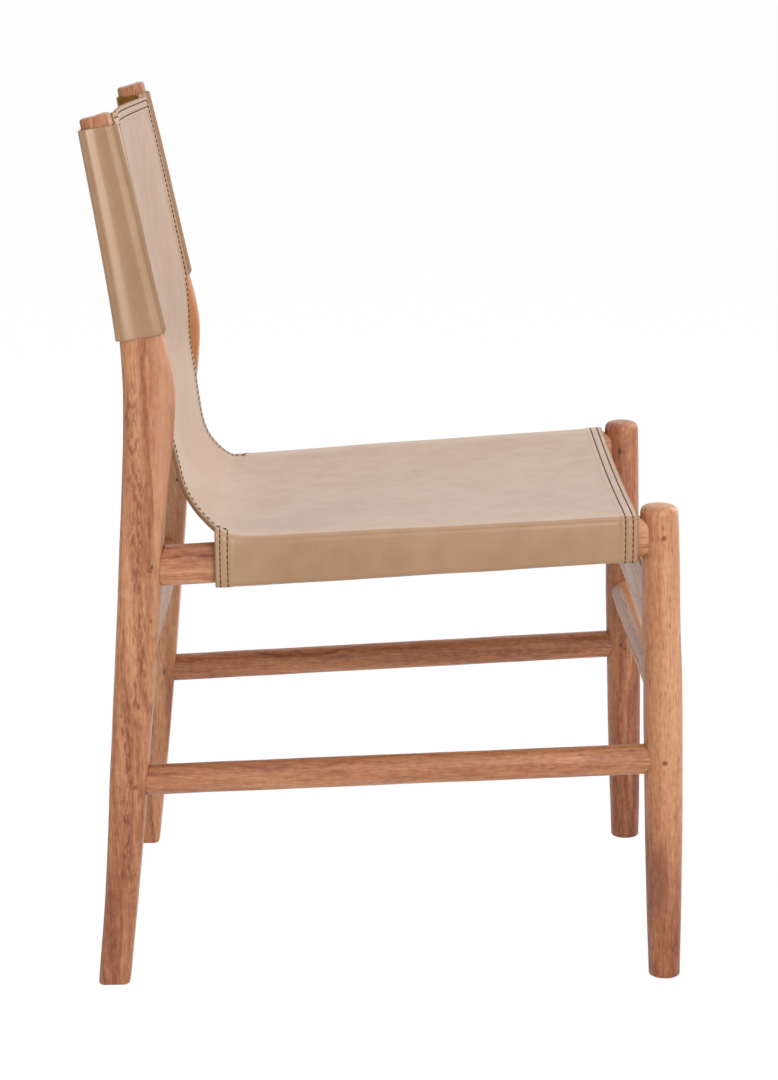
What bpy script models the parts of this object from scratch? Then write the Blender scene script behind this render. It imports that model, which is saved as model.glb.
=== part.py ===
"""Teak dining chair with one leather hide hung as its seat and back.

The chair stands on z = 0 and faces -Y. X runs across it, and its right side, as the sitter has
it, is at -X. Everything is in metres. The origin is on the floor, under the middle of the box.

The frame is eleven pieces of teak, joined by tenons that are pegged. The hide is sewn into a
sleeve round each rear post, hangs free below the sleeves, turns forward into the seat, and goes
over the seat rails to a row of tacks underneath them.
"""
import math

import bmesh
import bpy
from mathutils import Matrix, Vector

# Whole chair
LEG_SPACING = 0.433          # across, between the axes of the left and the right legs
CHAIR_DEPTH = 0.5595         # back of the rear foot to the most forward point of the front leg
FIT_GAP = 0.0003             # between two pieces of wood that touch
CUT_OVERRUN = 0.004          # how far a cut runs past the surface that it leaves
MERGE_DISTANCE = 0.00001     # points nearer than this are one point
ARRIS_SEGMENTS = 3           # faces round a rounded arris
FLAT_FACING = 0.9            # a face's normal this far along an axis counts as facing it
CREASE_ANGLE = math.radians(35)  # shading stays smooth over edges that turn less than this

# Rear post, one shaped plank from the floor to the top of the back
POST_HEIGHT = 0.829
POST_THICKNESS = 0.032       # across the chair
POST_DEPTH = 0.0476          # fore and aft, at its deepest
POST_SWEEP = 0.038           # how far the back edge comes forward between the foot and the waist
POST_TOP_DROP = 0.0058       # the top is cut square to the rake, so its back corner is lower
POST_ROUND = 0.007           # radius of the long arrises
POST_END_ROUND = 0.0022      # radius round the foot and the top
POST_STATIONS = 26           # heights at which the outline has a point
# Height share, share of the sweep by which the back edge lies forward, share of the depth
POST_SHAPE_SHARES = (
    (0.0, 0.0, 0.621),
    (0.12, 0.24, 0.669),
    (0.24, 0.41, 0.750),
    (0.36, 0.59, 0.803),
    (0.45, 0.72, 0.841),
    (0.52, 0.82, 0.846),
    (0.59, 0.92, 0.889),
    (0.64, 0.97, 0.972),
    (0.69, 1.0, 1.0),
    (0.725, 0.985, 0.929),
    (0.76, 0.93, 0.827),
    (0.845, 0.67, 0.725),
    (0.92, 0.41, 0.660),
    (1.0, 0.12, 0.577),
)

# Front leg, turned, with a domed top that stands above the seat
LEG_HEIGHT = 0.4645
LEG_DIAMETER = 0.037         # at its widest
LEG_LEAN = 0.0080            # how much further forward the foot is than the top
LEG_DOME = 0.0092            # height of the domed top
LEG_FOOT_ROUND = 0.0022
LEG_SIDES = 24
LEG_STATIONS = 9
LEG_DOME_STEPS = 5
# Height share, share of the diameter
LEG_SHAPE_SHARES = (
    (0.0, 0.81),
    (0.13, 0.885),
    (0.27, 0.95),
    (0.43, 0.985),
    (0.56, 1.0),
    (0.75, 0.975),
    (1.0, 0.965),
)

# Seat rails, one along each side, sloping up to the front
RAIL_WIDTH = 0.028
RAIL_HEIGHT = 0.0365
RAIL_ROUND = 0.0090
RAIL_REAR_TOP = 0.4264       # height of the top face at the post
RAIL_FRONT_TOP = 0.4520      # height of the top face at the leg's axis
RAIL_TENON_WIDTH = 0.012
RAIL_TENON_HEIGHT = 0.022

# Side stretchers, oval bars
STRETCHER_WIDTH = 0.026
STRETCHER_HEIGHT = 0.029
STRETCHER_REAR_CENTRE = 0.1978
STRETCHER_FRONT_CENTRE = 0.2166
STRETCHER_TENON = 0.017      # diameter of its round tenon
BAR_SIDES = 20

# Front stretcher, an oval bar between the front legs
FRONT_STRETCHER_WIDTH = 0.027
FRONT_STRETCHER_HEIGHT = 0.028
FRONT_STRETCHER_CENTRE = 0.2790
FRONT_STRETCHER_TENON = 0.016

# Aprons, flat boards below the seat, one between the front legs and one between the posts
APRON_THICKNESS = 0.018
FRONT_APRON_HEIGHT = 0.054
FRONT_APRON_BOTTOM = 0.337
REAR_APRON_HEIGHT = 0.0495
REAR_APRON_BOTTOM = 0.2935
APRON_ROUND = 0.003
APRON_TENON_THICKNESS = 0.010
APRON_TENON_HEIGHT = 0.036
APRON_TENON_RISE = 0.008     # from the board's lower edge up to the tenon
REAR_APRON_SETBACK = 0.0084  # from the posts' front edge back to the apron's face
FRONT_APRON_SETBACK = 0.006  # from the legs' axes back to the middle of the apron

# Tenons and pegs
LEG_TENON_DEPTH = 0.012      # how far past the leg's axis a tenon from behind reaches
POST_TENON_DEPTH = 0.021     # how deep a tenon goes into the post's front edge
CROSS_TENON_DEPTH = 0.015    # how deep the tenons of the cross pieces go
PEG_DIAMETER = 0.0052
PEG_INSET = 0.0105           # from the post's front edge back to the peg
PEG_SIDES = 12
COPE_REACH = 0.010           # how far a bar runs on before its end is cut to the piece it meets

# Hide
HIDE_THICKNESS = 0.0035
HIDE_GAP = 0.0013            # between the hide and the wood that it goes round
# How much further the hide stands off the top of each seat rail: the right one is looser
HIDE_LIFTS = {"right": 0.0020, "left": 0.0002}
# How much higher still its rear corner stands on each side, and over what length
CORNER_RISES = {"right": 0.0105, "left": 0.0}
CORNER_RUN = 0.030
SLEEVE_TOP = 0.8185          # height of the sleeve's upper rim at the post's front edge
SLEEVE_BOTTOM = 0.6285
SLEEVE_RIM_SLOPE = 0.16      # the rims fall to the back, square to the rake
SLEEVE_ROWS = 5
PANEL_SETBACK_TOP = 0.0016   # panel's face behind the post's front edge, at the sleeve's top
PANEL_SETBACK_BOTTOM = 0.0034
PANEL_SETBACK_WAIST = 0.0112 # the same at the post's deepest place
PANEL_INSET = 0.0065         # from the post's inner face in to the edge of the panel
RETURN_CLEARANCE = 0.0012    # between the panel's back and the end of the sleeve's return
BEND_TOP = 0.530             # height at which the hide starts to come forward of the post
BEND_REACH = 0.0369          # from there forward to the hide's rear edge on the rail
SEAT_OVERHANG_GAP = 0.0222   # from the front leg's axis back to the seat's front edge
SEAT_ROW_SHARES = (0.035, 0.085, 0.25, 0.43, 0.61, 0.80, 1.0)  # rows along the seat
WRAP_RETURN = 0.0165         # width of the hide's strip under the rail
# Share of the reach, share of the rise, along the free edge from the post to the rail
BEND_SHARES = (
    (0.0, 1.0),
    (0.065, 0.82),
    (0.125, 0.64),
    (0.19, 0.48),
    (0.30, 0.35),
    (0.46, 0.235),
    (0.66, 0.135),
    (0.84, 0.06),
    (1.0, 0.0),
)
# Share of the reach, share of the way from the back's half width to the seat's
SPREAD_SHARES = ((0.0, 0.0), (0.15, 0.0), (0.65, 0.7), (1.0, 1.0))
BACK_ROWS_BELOW_SLEEVE = 2   # rows of points between the sleeve and the bend
BEND_SAG_SHARE = 0.5         # share of the reach over which the sag goes down to the bend's
# Columns of the hide from the middle out, as shares of its half width
BACK_COLUMN_SHARES = (0.0, 0.19, 0.38, 0.56, 0.73, 0.88, 1.0)
SEAT_COLUMN_SHARES = (0.0, 0.18, 0.36, 0.54, 0.72, 0.885, 1.0)
# How far the middle of the hide hangs behind its edges, or below them
SAG_TOP = 0.0150
SAG_BACK = 0.0210
SAG_BEND = 0.0130
SAG_SEAT = 0.0085
SAG_FRONT = 0.0040
SAG_FLAT_SHARES = (0.35, 0.7)  # part of the seat's length that has the seat's sag
HIDE_CREASE_ANGLE = math.radians(50)

# Tacks that hold the hide under the seat rails
TACKS_PER_RAIL = 6
TACK_HEAD_DIAMETER = 0.0085
TACK_HEAD_HEIGHT = 0.0022
TACK_SHANK_DIAMETER = 0.0018
TACK_SHANK_LENGTH = 0.0120
TACK_END_MARGIN = 0.022      # from the hide's front or rear edge to the nearest tack
TACK_SIDES = 12
TACK_HOLE_SIDES = 6
TACK_DOME_TURNS = (math.pi / 6, math.pi / 3)  # turns round the head's dome with a point

SIDES = (("right", -1), ("left", 1))
TEAK = ("teak", (0.42, 0.20, 0.10, 1.0), 0.55, 0.0)
TEAK_PEG = ("teak_peg", (0.20, 0.09, 0.045, 1.0), 0.6, 0.0)
HIDE = ("tan_hide", (0.47, 0.31, 0.20, 1.0), 0.5, 0.0)
TACK_METAL = ("tack_metal", (0.32, 0.27, 0.20, 1.0), 0.4, 1.0)


def smooth(points, place):
    """Value at a place on a smooth curve through (place, value) points."""
    last = len(points) - 1
    if place <= points[0][0]:
        return points[0][1]
    if place >= points[last][0]:
        return points[last][1]
    index = max(i for i in range(last) if points[i][0] <= place)

    def slope(i):
        before, after = points[max(i - 1, 0)], points[min(i + 1, last)]
        return (after[1] - before[1]) / (after[0] - before[0])

    (start, low), (end, high) = points[index], points[index + 1]
    span = end - start
    t = (place - start) / span
    return (
        (2 * t ** 3 - 3 * t ** 2 + 1) * low
        + (t ** 3 - 2 * t ** 2 + t) * span * slope(index)
        + (3 * t ** 2 - 2 * t ** 3) * high
        + (t ** 3 - t ** 2) * span * slope(index + 1)
    )


def blend(low, high, share):
    """Straight step between two values."""
    return low + (high - low) * share


# Places that the pieces share

def post_back(height):
    """Y of the post's back edge at a height."""
    forward = smooth([(h, sweep) for h, sweep, _ in POST_SHAPE_SHARES], height / POST_HEIGHT)
    return CHAIR_DEPTH / 2 - POST_SWEEP * forward


def post_front(height):
    """Y of the post's front edge at a height."""
    depth = smooth([(h, deep) for h, _, deep in POST_SHAPE_SHARES], height / POST_HEIGHT)
    return post_back(height) - POST_DEPTH * depth


def leg_radius(height):
    """Radius of the turned leg at a height, below its dome."""
    return LEG_DIAMETER / 2 * smooth(LEG_SHAPE_SHARES, height / LEG_HEIGHT)


def leg_lean(height):
    """How far the leg's axis lies behind its place at the foot."""
    return LEG_LEAN * height / LEG_HEIGHT


def leg_axis(height):
    """Y of the front leg's axis at a height."""
    heights = [LEG_HEIGHT * step / LEG_STATIONS for step in range(LEG_STATIONS)]
    reach = max(leg_radius(h) - leg_lean(h) for h in heights)
    return -CHAIR_DEPTH / 2 + reach + leg_lean(height)


def rail_line():
    """Rear and front ends of a seat rail's centre line, as (y, z)."""
    rear_height = RAIL_REAR_TOP - RAIL_HEIGHT / 2
    front_height = RAIL_FRONT_TOP - RAIL_HEIGHT / 2
    return (post_front(rear_height), rear_height), (leg_axis(front_height), front_height)


def stretcher_line():
    """Rear and front ends of a side stretcher's centre line, as (y, z)."""
    rear = (post_front(STRETCHER_REAR_CENTRE), STRETCHER_REAR_CENTRE)
    return rear, (leg_axis(STRETCHER_FRONT_CENTRE), STRETCHER_FRONT_CENTRE)


def rail_top(y):
    """Height of a seat rail's top face at a place along it."""
    (rear_y, _), (front_y, _) = rail_line()
    return blend(RAIL_REAR_TOP, RAIL_FRONT_TOP, (y - rear_y) / (front_y - rear_y))


# Objects, collections and modifiers

def clear_scene():
    """Remove what the file holds already."""
    for old in list(bpy.data.objects):
        bpy.data.objects.remove(old, do_unlink=True)


def collection(name):
    """The named collection, made and linked to the scene the first time."""
    found = bpy.data.collections.get(name)
    if found is None:
        found = bpy.data.collections.new(name)
        bpy.context.scene.collection.children.link(found)
    return found


def material(finish):
    """The Principled material of a finish, made the first time."""
    name, colour, roughness, metallic = finish
    found = bpy.data.materials.get(name)
    if found is None:
        found = bpy.data.materials.new(name)
        found.use_nodes = True
        shader = found.node_tree.nodes["Principled BSDF"]
        shader.inputs["Base Color"].default_value = colour
        shader.inputs["Roughness"].default_value = roughness
        shader.inputs["Metallic"].default_value = metallic
        found.diffuse_color = colour
    return found


def new_object(name, data, matrix=None):
    """An object in the chair's collection."""
    made = bpy.data.objects.new(name, data)
    made.matrix_world = matrix or Matrix.Identity(4)
    collection("teak_chair").objects.link(made)
    return made


def finish_piece(piece, finish, smooth_angle=CREASE_ANGLE):
    """Give a piece its material and smooth shading up to an angle."""
    piece.data.materials.clear()
    piece.data.materials.append(material(finish))
    piece.data.shade_smooth()
    piece.data.set_sharp_from_angle(angle=smooth_angle)
    return piece


def as_cutter(piece):
    """Move an object to the cutters, which are left out of the chair."""
    collection("teak_chair").objects.unlink(piece)
    collection("cutters").objects.link(piece)
    piece.hide_render = True
    piece.display_type = "WIRE"
    return piece


def mesh_from(name, bm, matrix=None):
    """An object from a bmesh, whose faces are turned to point out."""
    bmesh.ops.recalc_face_normals(bm, faces=bm.faces)
    data = bpy.data.meshes.new(name)
    bm.to_mesh(data)
    bm.free()
    return new_object(name, data, matrix)


def baked(piece):
    """The same piece with its modifiers, or its curve, turned into a plain mesh."""
    bpy.context.view_layer.update()
    evaluated = piece.evaluated_get(bpy.context.evaluated_depsgraph_get())
    data = bpy.data.meshes.new_from_object(evaluated)
    bm = bmesh.new()
    bm.from_mesh(data)
    bmesh.ops.remove_doubles(bm, verts=bm.verts, dist=MERGE_DISTANCE)
    bm.to_mesh(data)
    bm.free()
    name, matrix = piece.name, piece.matrix_world.copy()
    bpy.data.objects.remove(piece, do_unlink=True)
    data.name = name
    return new_object(name, data, matrix)


def combine(target, tool, operation):
    """Add a live Boolean of a tool object to a target."""
    modifier = target.modifiers.new(tool.name, "BOOLEAN")
    modifier.operation = operation
    modifier.solver = "EXACT"
    modifier.object = tool


def round_edges(piece, width):
    """Round the edges that carry a bevel weight."""
    modifier = piece.modifiers.new("round_edges", "BEVEL")
    modifier.width = width
    modifier.segments = ARRIS_SEGMENTS
    modifier.limit_method = "WEIGHT"


def weigh_edges(bm, weight_of):
    """Write each edge's bevel weight, as a function of the edge gives it."""
    layer = bm.edges.layers.float.new("bevel_weight_edge")
    for edge in bm.edges:
        edge[layer] = weight_of(edge)


def swollen(piece, name, gap):
    """A cutter with the shape of a finished piece, grown by a gap."""
    data = piece.data.copy()
    bm = bmesh.new()
    bm.from_mesh(data)
    bm.normal_update()
    moved = [(vert, vert.co + vert.normal * gap) for vert in bm.verts]
    for vert, place in moved:
        vert.co = place
    bm.to_mesh(data)
    bm.free()
    return as_cutter(new_object(name, data, piece.matrix_world.copy()))


# Legs and posts

def rear_post(name, side):
    """A shaped plank: its outline as a filled curve, with rounded arrises."""
    steps = range(POST_STATIONS + 1)
    back_top = POST_HEIGHT - POST_TOP_DROP
    back = [back_top * step / POST_STATIONS for step in steps]
    front = [POST_HEIGHT * step / POST_STATIONS for step in reversed(steps)]
    outline = [(post_back(height), height) for height in back]
    outline += [(post_front(height), height) for height in front]

    curve = bpy.data.curves.new(name, "CURVE")
    curve.dimensions = "2D"
    curve.fill_mode = "BOTH"
    curve.extrude = POST_THICKNESS / 2
    spline = curve.splines.new("POLY")
    spline.points.add(len(outline) - 1)
    for point, (y, z) in zip(spline.points, outline):
        point.co = (y, z, 0.0, 1.0)
    spline.use_cyclic_u = True
    plank = new_object(name, curve)
    plank.location = (side * LEG_SPACING / 2, 0.0, 0.0)
    plank.rotation_euler = (math.pi / 2, 0.0, math.pi / 2)
    plank = baked(plank)

    bm = bmesh.new()
    bm.from_mesh(plank.data)
    bm.normal_update()
    caps = [e for e in bm.edges if all(abs(f.normal.z) > FLAT_FACING for f in e.link_faces)]
    bmesh.ops.dissolve_edges(bm, edges=caps)
    bmesh.ops.recalc_face_normals(bm, faces=bm.faces)

    def weight(edge):
        faces = edge.link_faces
        if any(abs(face.normal.y) > FLAT_FACING for face in faces):
            return POST_END_ROUND / POST_ROUND
        return 1.0 if any(abs(face.normal.z) > FLAT_FACING for face in faces) else 0.0

    weigh_edges(bm, weight)
    bm.to_mesh(plank.data)
    bm.free()
    round_edges(plank, POST_ROUND)
    return finish_piece(baked(plank), TEAK)


def leg_profile():
    """Radius and height down the leg's side, from the middle of the dome to that of the foot."""
    rim_height = LEG_HEIGHT - LEG_DOME
    rim_radius = leg_radius(rim_height)
    points = []
    for step in range(LEG_DOME_STEPS):
        turn = math.pi / 2 * step / LEG_DOME_STEPS
        points.append((rim_radius * math.sin(turn), rim_height + LEG_DOME * math.cos(turn)))
    for step in range(LEG_STATIONS, 0, -1):
        height = blend(LEG_FOOT_ROUND, rim_height, step / LEG_STATIONS)
        points.append((leg_radius(height), height))
    foot_radius = leg_radius(0.0)
    points.append((foot_radius, LEG_FOOT_ROUND))
    points.append((foot_radius - LEG_FOOT_ROUND, 0.0))
    points.append((0.0, 0.0))
    return points


def turned(name, profile, sides, matrix=None):
    """A turned piece from a profile that runs down its side."""
    data = bpy.data.meshes.new(name)
    bm = bmesh.new()
    verts = [bm.verts.new((radius, 0.0, height)) for radius, height in profile]
    for first, second in zip(verts, verts[1:]):
        bm.edges.new((first, second))
    bm.to_mesh(data)
    bm.free()
    piece = new_object(name, data, matrix)
    screw = piece.modifiers.new("turn", "SCREW")
    screw.axis = "Z"
    screw.steps = sides
    screw.render_steps = sides
    screw.use_merge_vertices = True
    screw.merge_threshold = MERGE_DISTANCE
    return baked(piece)


def front_leg(name, side):
    """A turned leg that leans, with its foot flat on the floor."""
    leg = turned(name, leg_profile(), LEG_SIDES)
    lean = Matrix.Identity(4)
    lean[1][2] = LEG_LEAN / LEG_HEIGHT
    leg.data.transform(lean)
    leg.location = (side * LEG_SPACING / 2, leg_axis(0.0), 0.0)
    bpy.context.view_layer.update()
    return finish_piece(leg, TEAK)


# Bars, boards, tenons and pegs

def along(start, end):
    """Matrix with local +Y from start to end, local +Z up, and its origin half way."""
    start, end = Vector(start), Vector(end)
    forward = (end - start).normalized()
    across = forward.cross(Vector((0.0, 0.0, 1.0))).normalized()
    upward = across.cross(forward)
    turn = Matrix((across, forward, upward)).transposed().to_4x4()
    return Matrix.Translation((start + end) / 2) @ turn


def box_bar(name, width, height, start, end, radius=0.0):
    """A square bar between two points, with its long arrises rounded."""
    bm = bmesh.new()
    bmesh.ops.create_cube(bm, size=1.0)
    length = (Vector(end) - Vector(start)).length
    bmesh.ops.scale(bm, vec=(width, length, height), verts=bm.verts)
    weigh_edges(bm, lambda edge: 1.0 if abs(edge.verts[0].co.y - edge.verts[1].co.y) > 0 else 0.0)
    piece = mesh_from(name, bm, along(start, end))
    if radius > 0.0:
        round_edges(piece, radius)
    return piece


def oval_bar(name, width, height, start, end, sides=BAR_SIDES):
    """A round or oval bar between two points."""
    bm = bmesh.new()
    bmesh.ops.create_cone(
        bm, cap_ends=True, segments=sides, radius1=0.5, radius2=0.5, depth=1.0,
        matrix=Matrix.Rotation(math.pi / 2, 4, "X"),
    )
    length = (Vector(end) - Vector(start)).length
    bmesh.ops.scale(bm, vec=(width, length, height), verts=bm.verts)
    return mesh_from(name, bm, along(start, end))


def beyond(start, end, before, after):
    """The two ends of a line, each moved outwards along it."""
    start, end = Vector(start), Vector(end)
    forward = (end - start).normalized()
    return start - forward * before, end + forward * after


def fitted_bar(body, make_tenon, cope_tools, mortised):
    """Cut a bar's ends to what they meet, give it a tenon core, and mortise its neighbours."""
    for tool in cope_tools:
        combine(body, tool, "DIFFERENCE")
    core = as_cutter(make_tenon(body.name + "_tenons", 0.0))
    combine(body, core, "UNION")
    mortise = as_cutter(make_tenon(body.name + "_mortises", FIT_GAP))
    for neighbour in mortised:
        combine(neighbour, mortise, "DIFFERENCE")
    return body


def side_bar(name, kind, side, rear, front, post, leg, copes):
    """A seat rail or a side stretcher, from a post's front edge to a front leg."""
    x = side * LEG_SPACING / 2
    start, end = (x, rear[0], rear[1]), (x, front[0], front[1])
    outer = beyond(start, end, COPE_REACH, 0.0)
    if kind == "rail":
        body = box_bar(name, RAIL_WIDTH, RAIL_HEIGHT, *outer, radius=RAIL_ROUND)
    else:
        body = oval_bar(name, STRETCHER_WIDTH, STRETCHER_HEIGHT, *outer)

    def tenon(label, gap):
        ends = beyond(start, end, POST_TENON_DEPTH + gap, LEG_TENON_DEPTH + gap)
        if kind == "rail":
            return box_bar(label, RAIL_TENON_WIDTH + 2 * gap, RAIL_TENON_HEIGHT + 2 * gap, *ends)
        size = STRETCHER_TENON + 2 * gap
        return oval_bar(label, size, size, *ends)

    return finish_piece(fitted_bar(body, tenon, copes, (post, leg)), TEAK)


def cross_piece(name, place, size, tenon_size, tenon_rise, copes, mortised, oval):
    """A board or a bar that runs across the chair between two legs or two posts."""
    y, z = place
    half = LEG_SPACING / 2
    inner_face = half - POST_THICKNESS / 2
    outer = (-half, y, z), (half, y, z)
    if oval:
        body = oval_bar(name, size[0], size[1], *outer)
    else:
        body = box_bar(name, size[0], size[1], *outer, radius=APRON_ROUND)

    def tenon(label, gap):
        reach = inner_face + CROSS_TENON_DEPTH + gap
        ends = (-reach, y, z + tenon_rise), (reach, y, z + tenon_rise)
        if oval:
            return oval_bar(label, tenon_size[0] + 2 * gap, tenon_size[1] + 2 * gap, *ends)
        return box_bar(label, tenon_size[0] + 2 * gap, tenon_size[1] + 2 * gap, *ends)

    return finish_piece(fitted_bar(body, tenon, copes, mortised), TEAK)


def apron(name, y, bottom, height, copes, mortised):
    """A flat board on edge across the chair, with a tenon at each end."""
    tenon_rise = APRON_TENON_RISE + APRON_TENON_HEIGHT / 2 - height / 2
    tenon_size = (APRON_TENON_THICKNESS, APRON_TENON_HEIGHT)
    return cross_piece(name, (y, bottom + height / 2), (APRON_THICKNESS, height),
                       tenon_size, tenon_rise, copes, mortised, False)


def peg(name, side, place, length, drilled):
    """A round peg across a joint, and its hole through all that it pins."""
    x, (y, z) = side * LEG_SPACING / 2, place
    ends = (x - length / 2, y, z), (x + length / 2, y, z)
    pin = oval_bar(name, PEG_DIAMETER, PEG_DIAMETER, *ends, sides=PEG_SIDES)
    hole_size = PEG_DIAMETER + 2 * FIT_GAP
    hole_ends = beyond(*ends, CUT_OVERRUN, CUT_OVERRUN)
    hole = as_cutter(oval_bar(name + "_hole", hole_size, hole_size, *hole_ends, sides=PEG_SIDES))
    for piece in drilled:
        combine(piece, hole, "DIFFERENCE")
    return finish_piece(pin, TEAK_PEG)


# Hide

def sleeve_point(across, depth_share, height, shift):
    """A place on the hide round a post, on a line that falls to the back."""
    y = blend(post_front(height), post_back(height), depth_share) + shift
    level = height - SLEEVE_RIM_SLOPE * (y - post_front(height))
    return across, blend(post_front(level), post_back(level), depth_share) + shift, level


def sleeve_path(height):
    """The outer face of a sleeve at a height, from the panel round the post to its return."""
    half = POST_THICKNESS / 2
    skin = HIDE_GAP + HIDE_THICKNESS
    centre = half - POST_ROUND
    full = POST_ROUND + skin
    turn = full * math.sqrt(0.5)
    return_start = panel_setback(height) + HIDE_THICKNESS + RETURN_CLEARANCE
    corners = (
        (-centre - turn, 0.0, POST_ROUND - turn),
        (-centre, 0.0, -skin),
        (centre, 0.0, -skin),
        (centre + turn, 0.0, POST_ROUND - turn),
        (half + skin, 0.0, POST_ROUND),
        (half + skin, 1.0, -POST_ROUND),
        (centre + turn, 1.0, turn - POST_ROUND),
        (centre, 1.0, skin),
        (-centre, 1.0, skin),
        (-centre - turn, 1.0, turn - POST_ROUND),
        (-half - skin, 1.0, -POST_ROUND),
        (-half - skin, 0.0, return_start),
    )
    return [sleeve_point(across, share, height, shift) for across, share, shift in corners]


def panel_setback(height):
    """How far the panel's face lies behind the post's front edge at a height."""
    waist = POST_HEIGHT * max(POST_SHAPE_SHARES, key=lambda row: row[2])[0]
    table = (
        (BEND_TOP, 0.0),
        (waist, PANEL_SETBACK_WAIST),
        (SLEEVE_BOTTOM, PANEL_SETBACK_BOTTOM),
        (SLEEVE_TOP, PANEL_SETBACK_TOP),
    )
    return smooth(table, height)


def hide_foot():
    """Y of the hide's rear edge on the seat rails."""
    return post_front(BEND_TOP) - BEND_REACH


def seat_surface(y, side_name):
    """Height of the hide's upper face over the rail of one side."""
    near_corner = max(0.0, 1.0 - (hide_foot() - y) / CORNER_RUN)
    lift = HIDE_LIFTS[side_name] + CORNER_RISES[side_name] * near_corner ** 2
    return rail_top(y) + lift + HIDE_GAP + HIDE_THICKNESS


def edge_rows():
    """The hide from its top to the seat's front, as (y, z right and left, half, spread, sag)."""
    back_half = LEG_SPACING / 2 - POST_THICKNESS / 2 - PANEL_INSET
    seat_half = LEG_SPACING / 2 + RAIL_WIDTH / 2 - RAIL_ROUND
    rows = []

    def back_row(height, sag):
        y = post_front(height) + panel_setback(height)
        rows.append((y, (height, height), back_half, 0.0, sag))

    for step in range(SLEEVE_ROWS + 1):
        share = step / SLEEVE_ROWS
        sag = blend(SAG_TOP, SAG_BACK, math.sin(share * math.pi / 2))
        back_row(blend(SLEEVE_TOP, SLEEVE_BOTTOM, share), sag)
    for step in range(BACK_ROWS_BELOW_SLEEVE):
        share = (step + 1) / (BACK_ROWS_BELOW_SLEEVE + 1)
        back_row(blend(SLEEVE_BOTTOM, BEND_TOP, share), SAG_BACK)
    foot_y = hide_foot()
    feet = [seat_surface(foot_y, name) for name, _ in SIDES]
    for reach_share, rise_share in BEND_SHARES:
        spread = smooth(SPREAD_SHARES, reach_share)
        half = blend(back_half, seat_half, spread)
        sag = blend(SAG_BACK, SAG_BEND, min(1.0, reach_share / BEND_SAG_SHARE))
        levels = tuple(blend(foot, BEND_TOP, rise_share) for foot in feet)
        rows.append((foot_y + BEND_REACH * (1.0 - reach_share), levels, half, spread, sag))
    front_y = leg_axis(RAIL_FRONT_TOP) + SEAT_OVERHANG_GAP
    sags = [(share, SAG_SEAT) for share in SAG_FLAT_SHARES]
    sags = [(0.0, SAG_BEND)] + sags + [(1.0, SAG_FRONT)]
    for share in SEAT_ROW_SHARES:
        y = blend(foot_y, front_y, share)
        levels = tuple(seat_surface(y, name) for name, _ in SIDES)
        rows.append((y, levels, seat_half, 1.0, smooth(sags, share)))
    return rows


def hide_grid():
    """Rows of points over the middle of the hide, from its right edge to its left."""
    rows = edge_rows()
    grid = []
    for index, (y, (right, left), half, spread, sag) in enumerate(rows):
        before, after = rows[max(index - 1, 0)], rows[min(index + 1, len(rows) - 1)]
        run = Vector((after[0] - before[0], sum(after[1]) / 2 - sum(before[1]) / 2)).normalized()
        behind = Vector((-run.y, run.x))
        shares = [blend(b, s, spread) for b, s in zip(BACK_COLUMN_SHARES, SEAT_COLUMN_SHARES)]
        hung = blend(1.0, SEAT_COLUMN_SHARES[-2], spread)
        line = []
        for share in [-value for value in reversed(shares[1:])] + shares:
            drop = sag * max(0.0, 1.0 - (share / hung) ** 2)
            z = blend(right, left, (share + 1.0) / 2)
            line.append(Vector((half * share, y + behind.x * drop, z + behind.y * drop)))
        grid.append(line)
    return grid


def wrap_path(y, side_name):
    """The hide's outer face round a seat rail, from the top out, down and under."""
    skin = HIDE_GAP + HIDE_THICKNESS
    full = RAIL_ROUND + skin
    turn = full * math.sqrt(0.5)
    centre = RAIL_WIDTH / 2 - RAIL_ROUND
    high = seat_surface(y, side_name) - full
    low = rail_top(y) - RAIL_HEIGHT + RAIL_ROUND
    return (
        (centre + turn, y, high + turn),
        (centre + full, y, high),
        (centre + full, y, low),
        (centre + turn, y, low - turn),
        (centre, y, low - full),
        (centre - WRAP_RETURN, y, low - full),
    )


def sew_strip(bm, first_column, strips):
    """Faces of a flap that starts on a column of the hide and runs through rows of points."""
    lines = []
    for start, strip in zip(first_column, strips):
        lines.append([start] + [bm.verts.new(place) for place in strip])
    bridge_rows(bm, lines)


def bridge_rows(bm, lines):
    """Quads between neighbouring rows of points."""
    for upper, lower in zip(lines, lines[1:]):
        for i in range(len(upper) - 1):
            bm.faces.new((upper[i], upper[i + 1], lower[i + 1], lower[i]))


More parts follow.
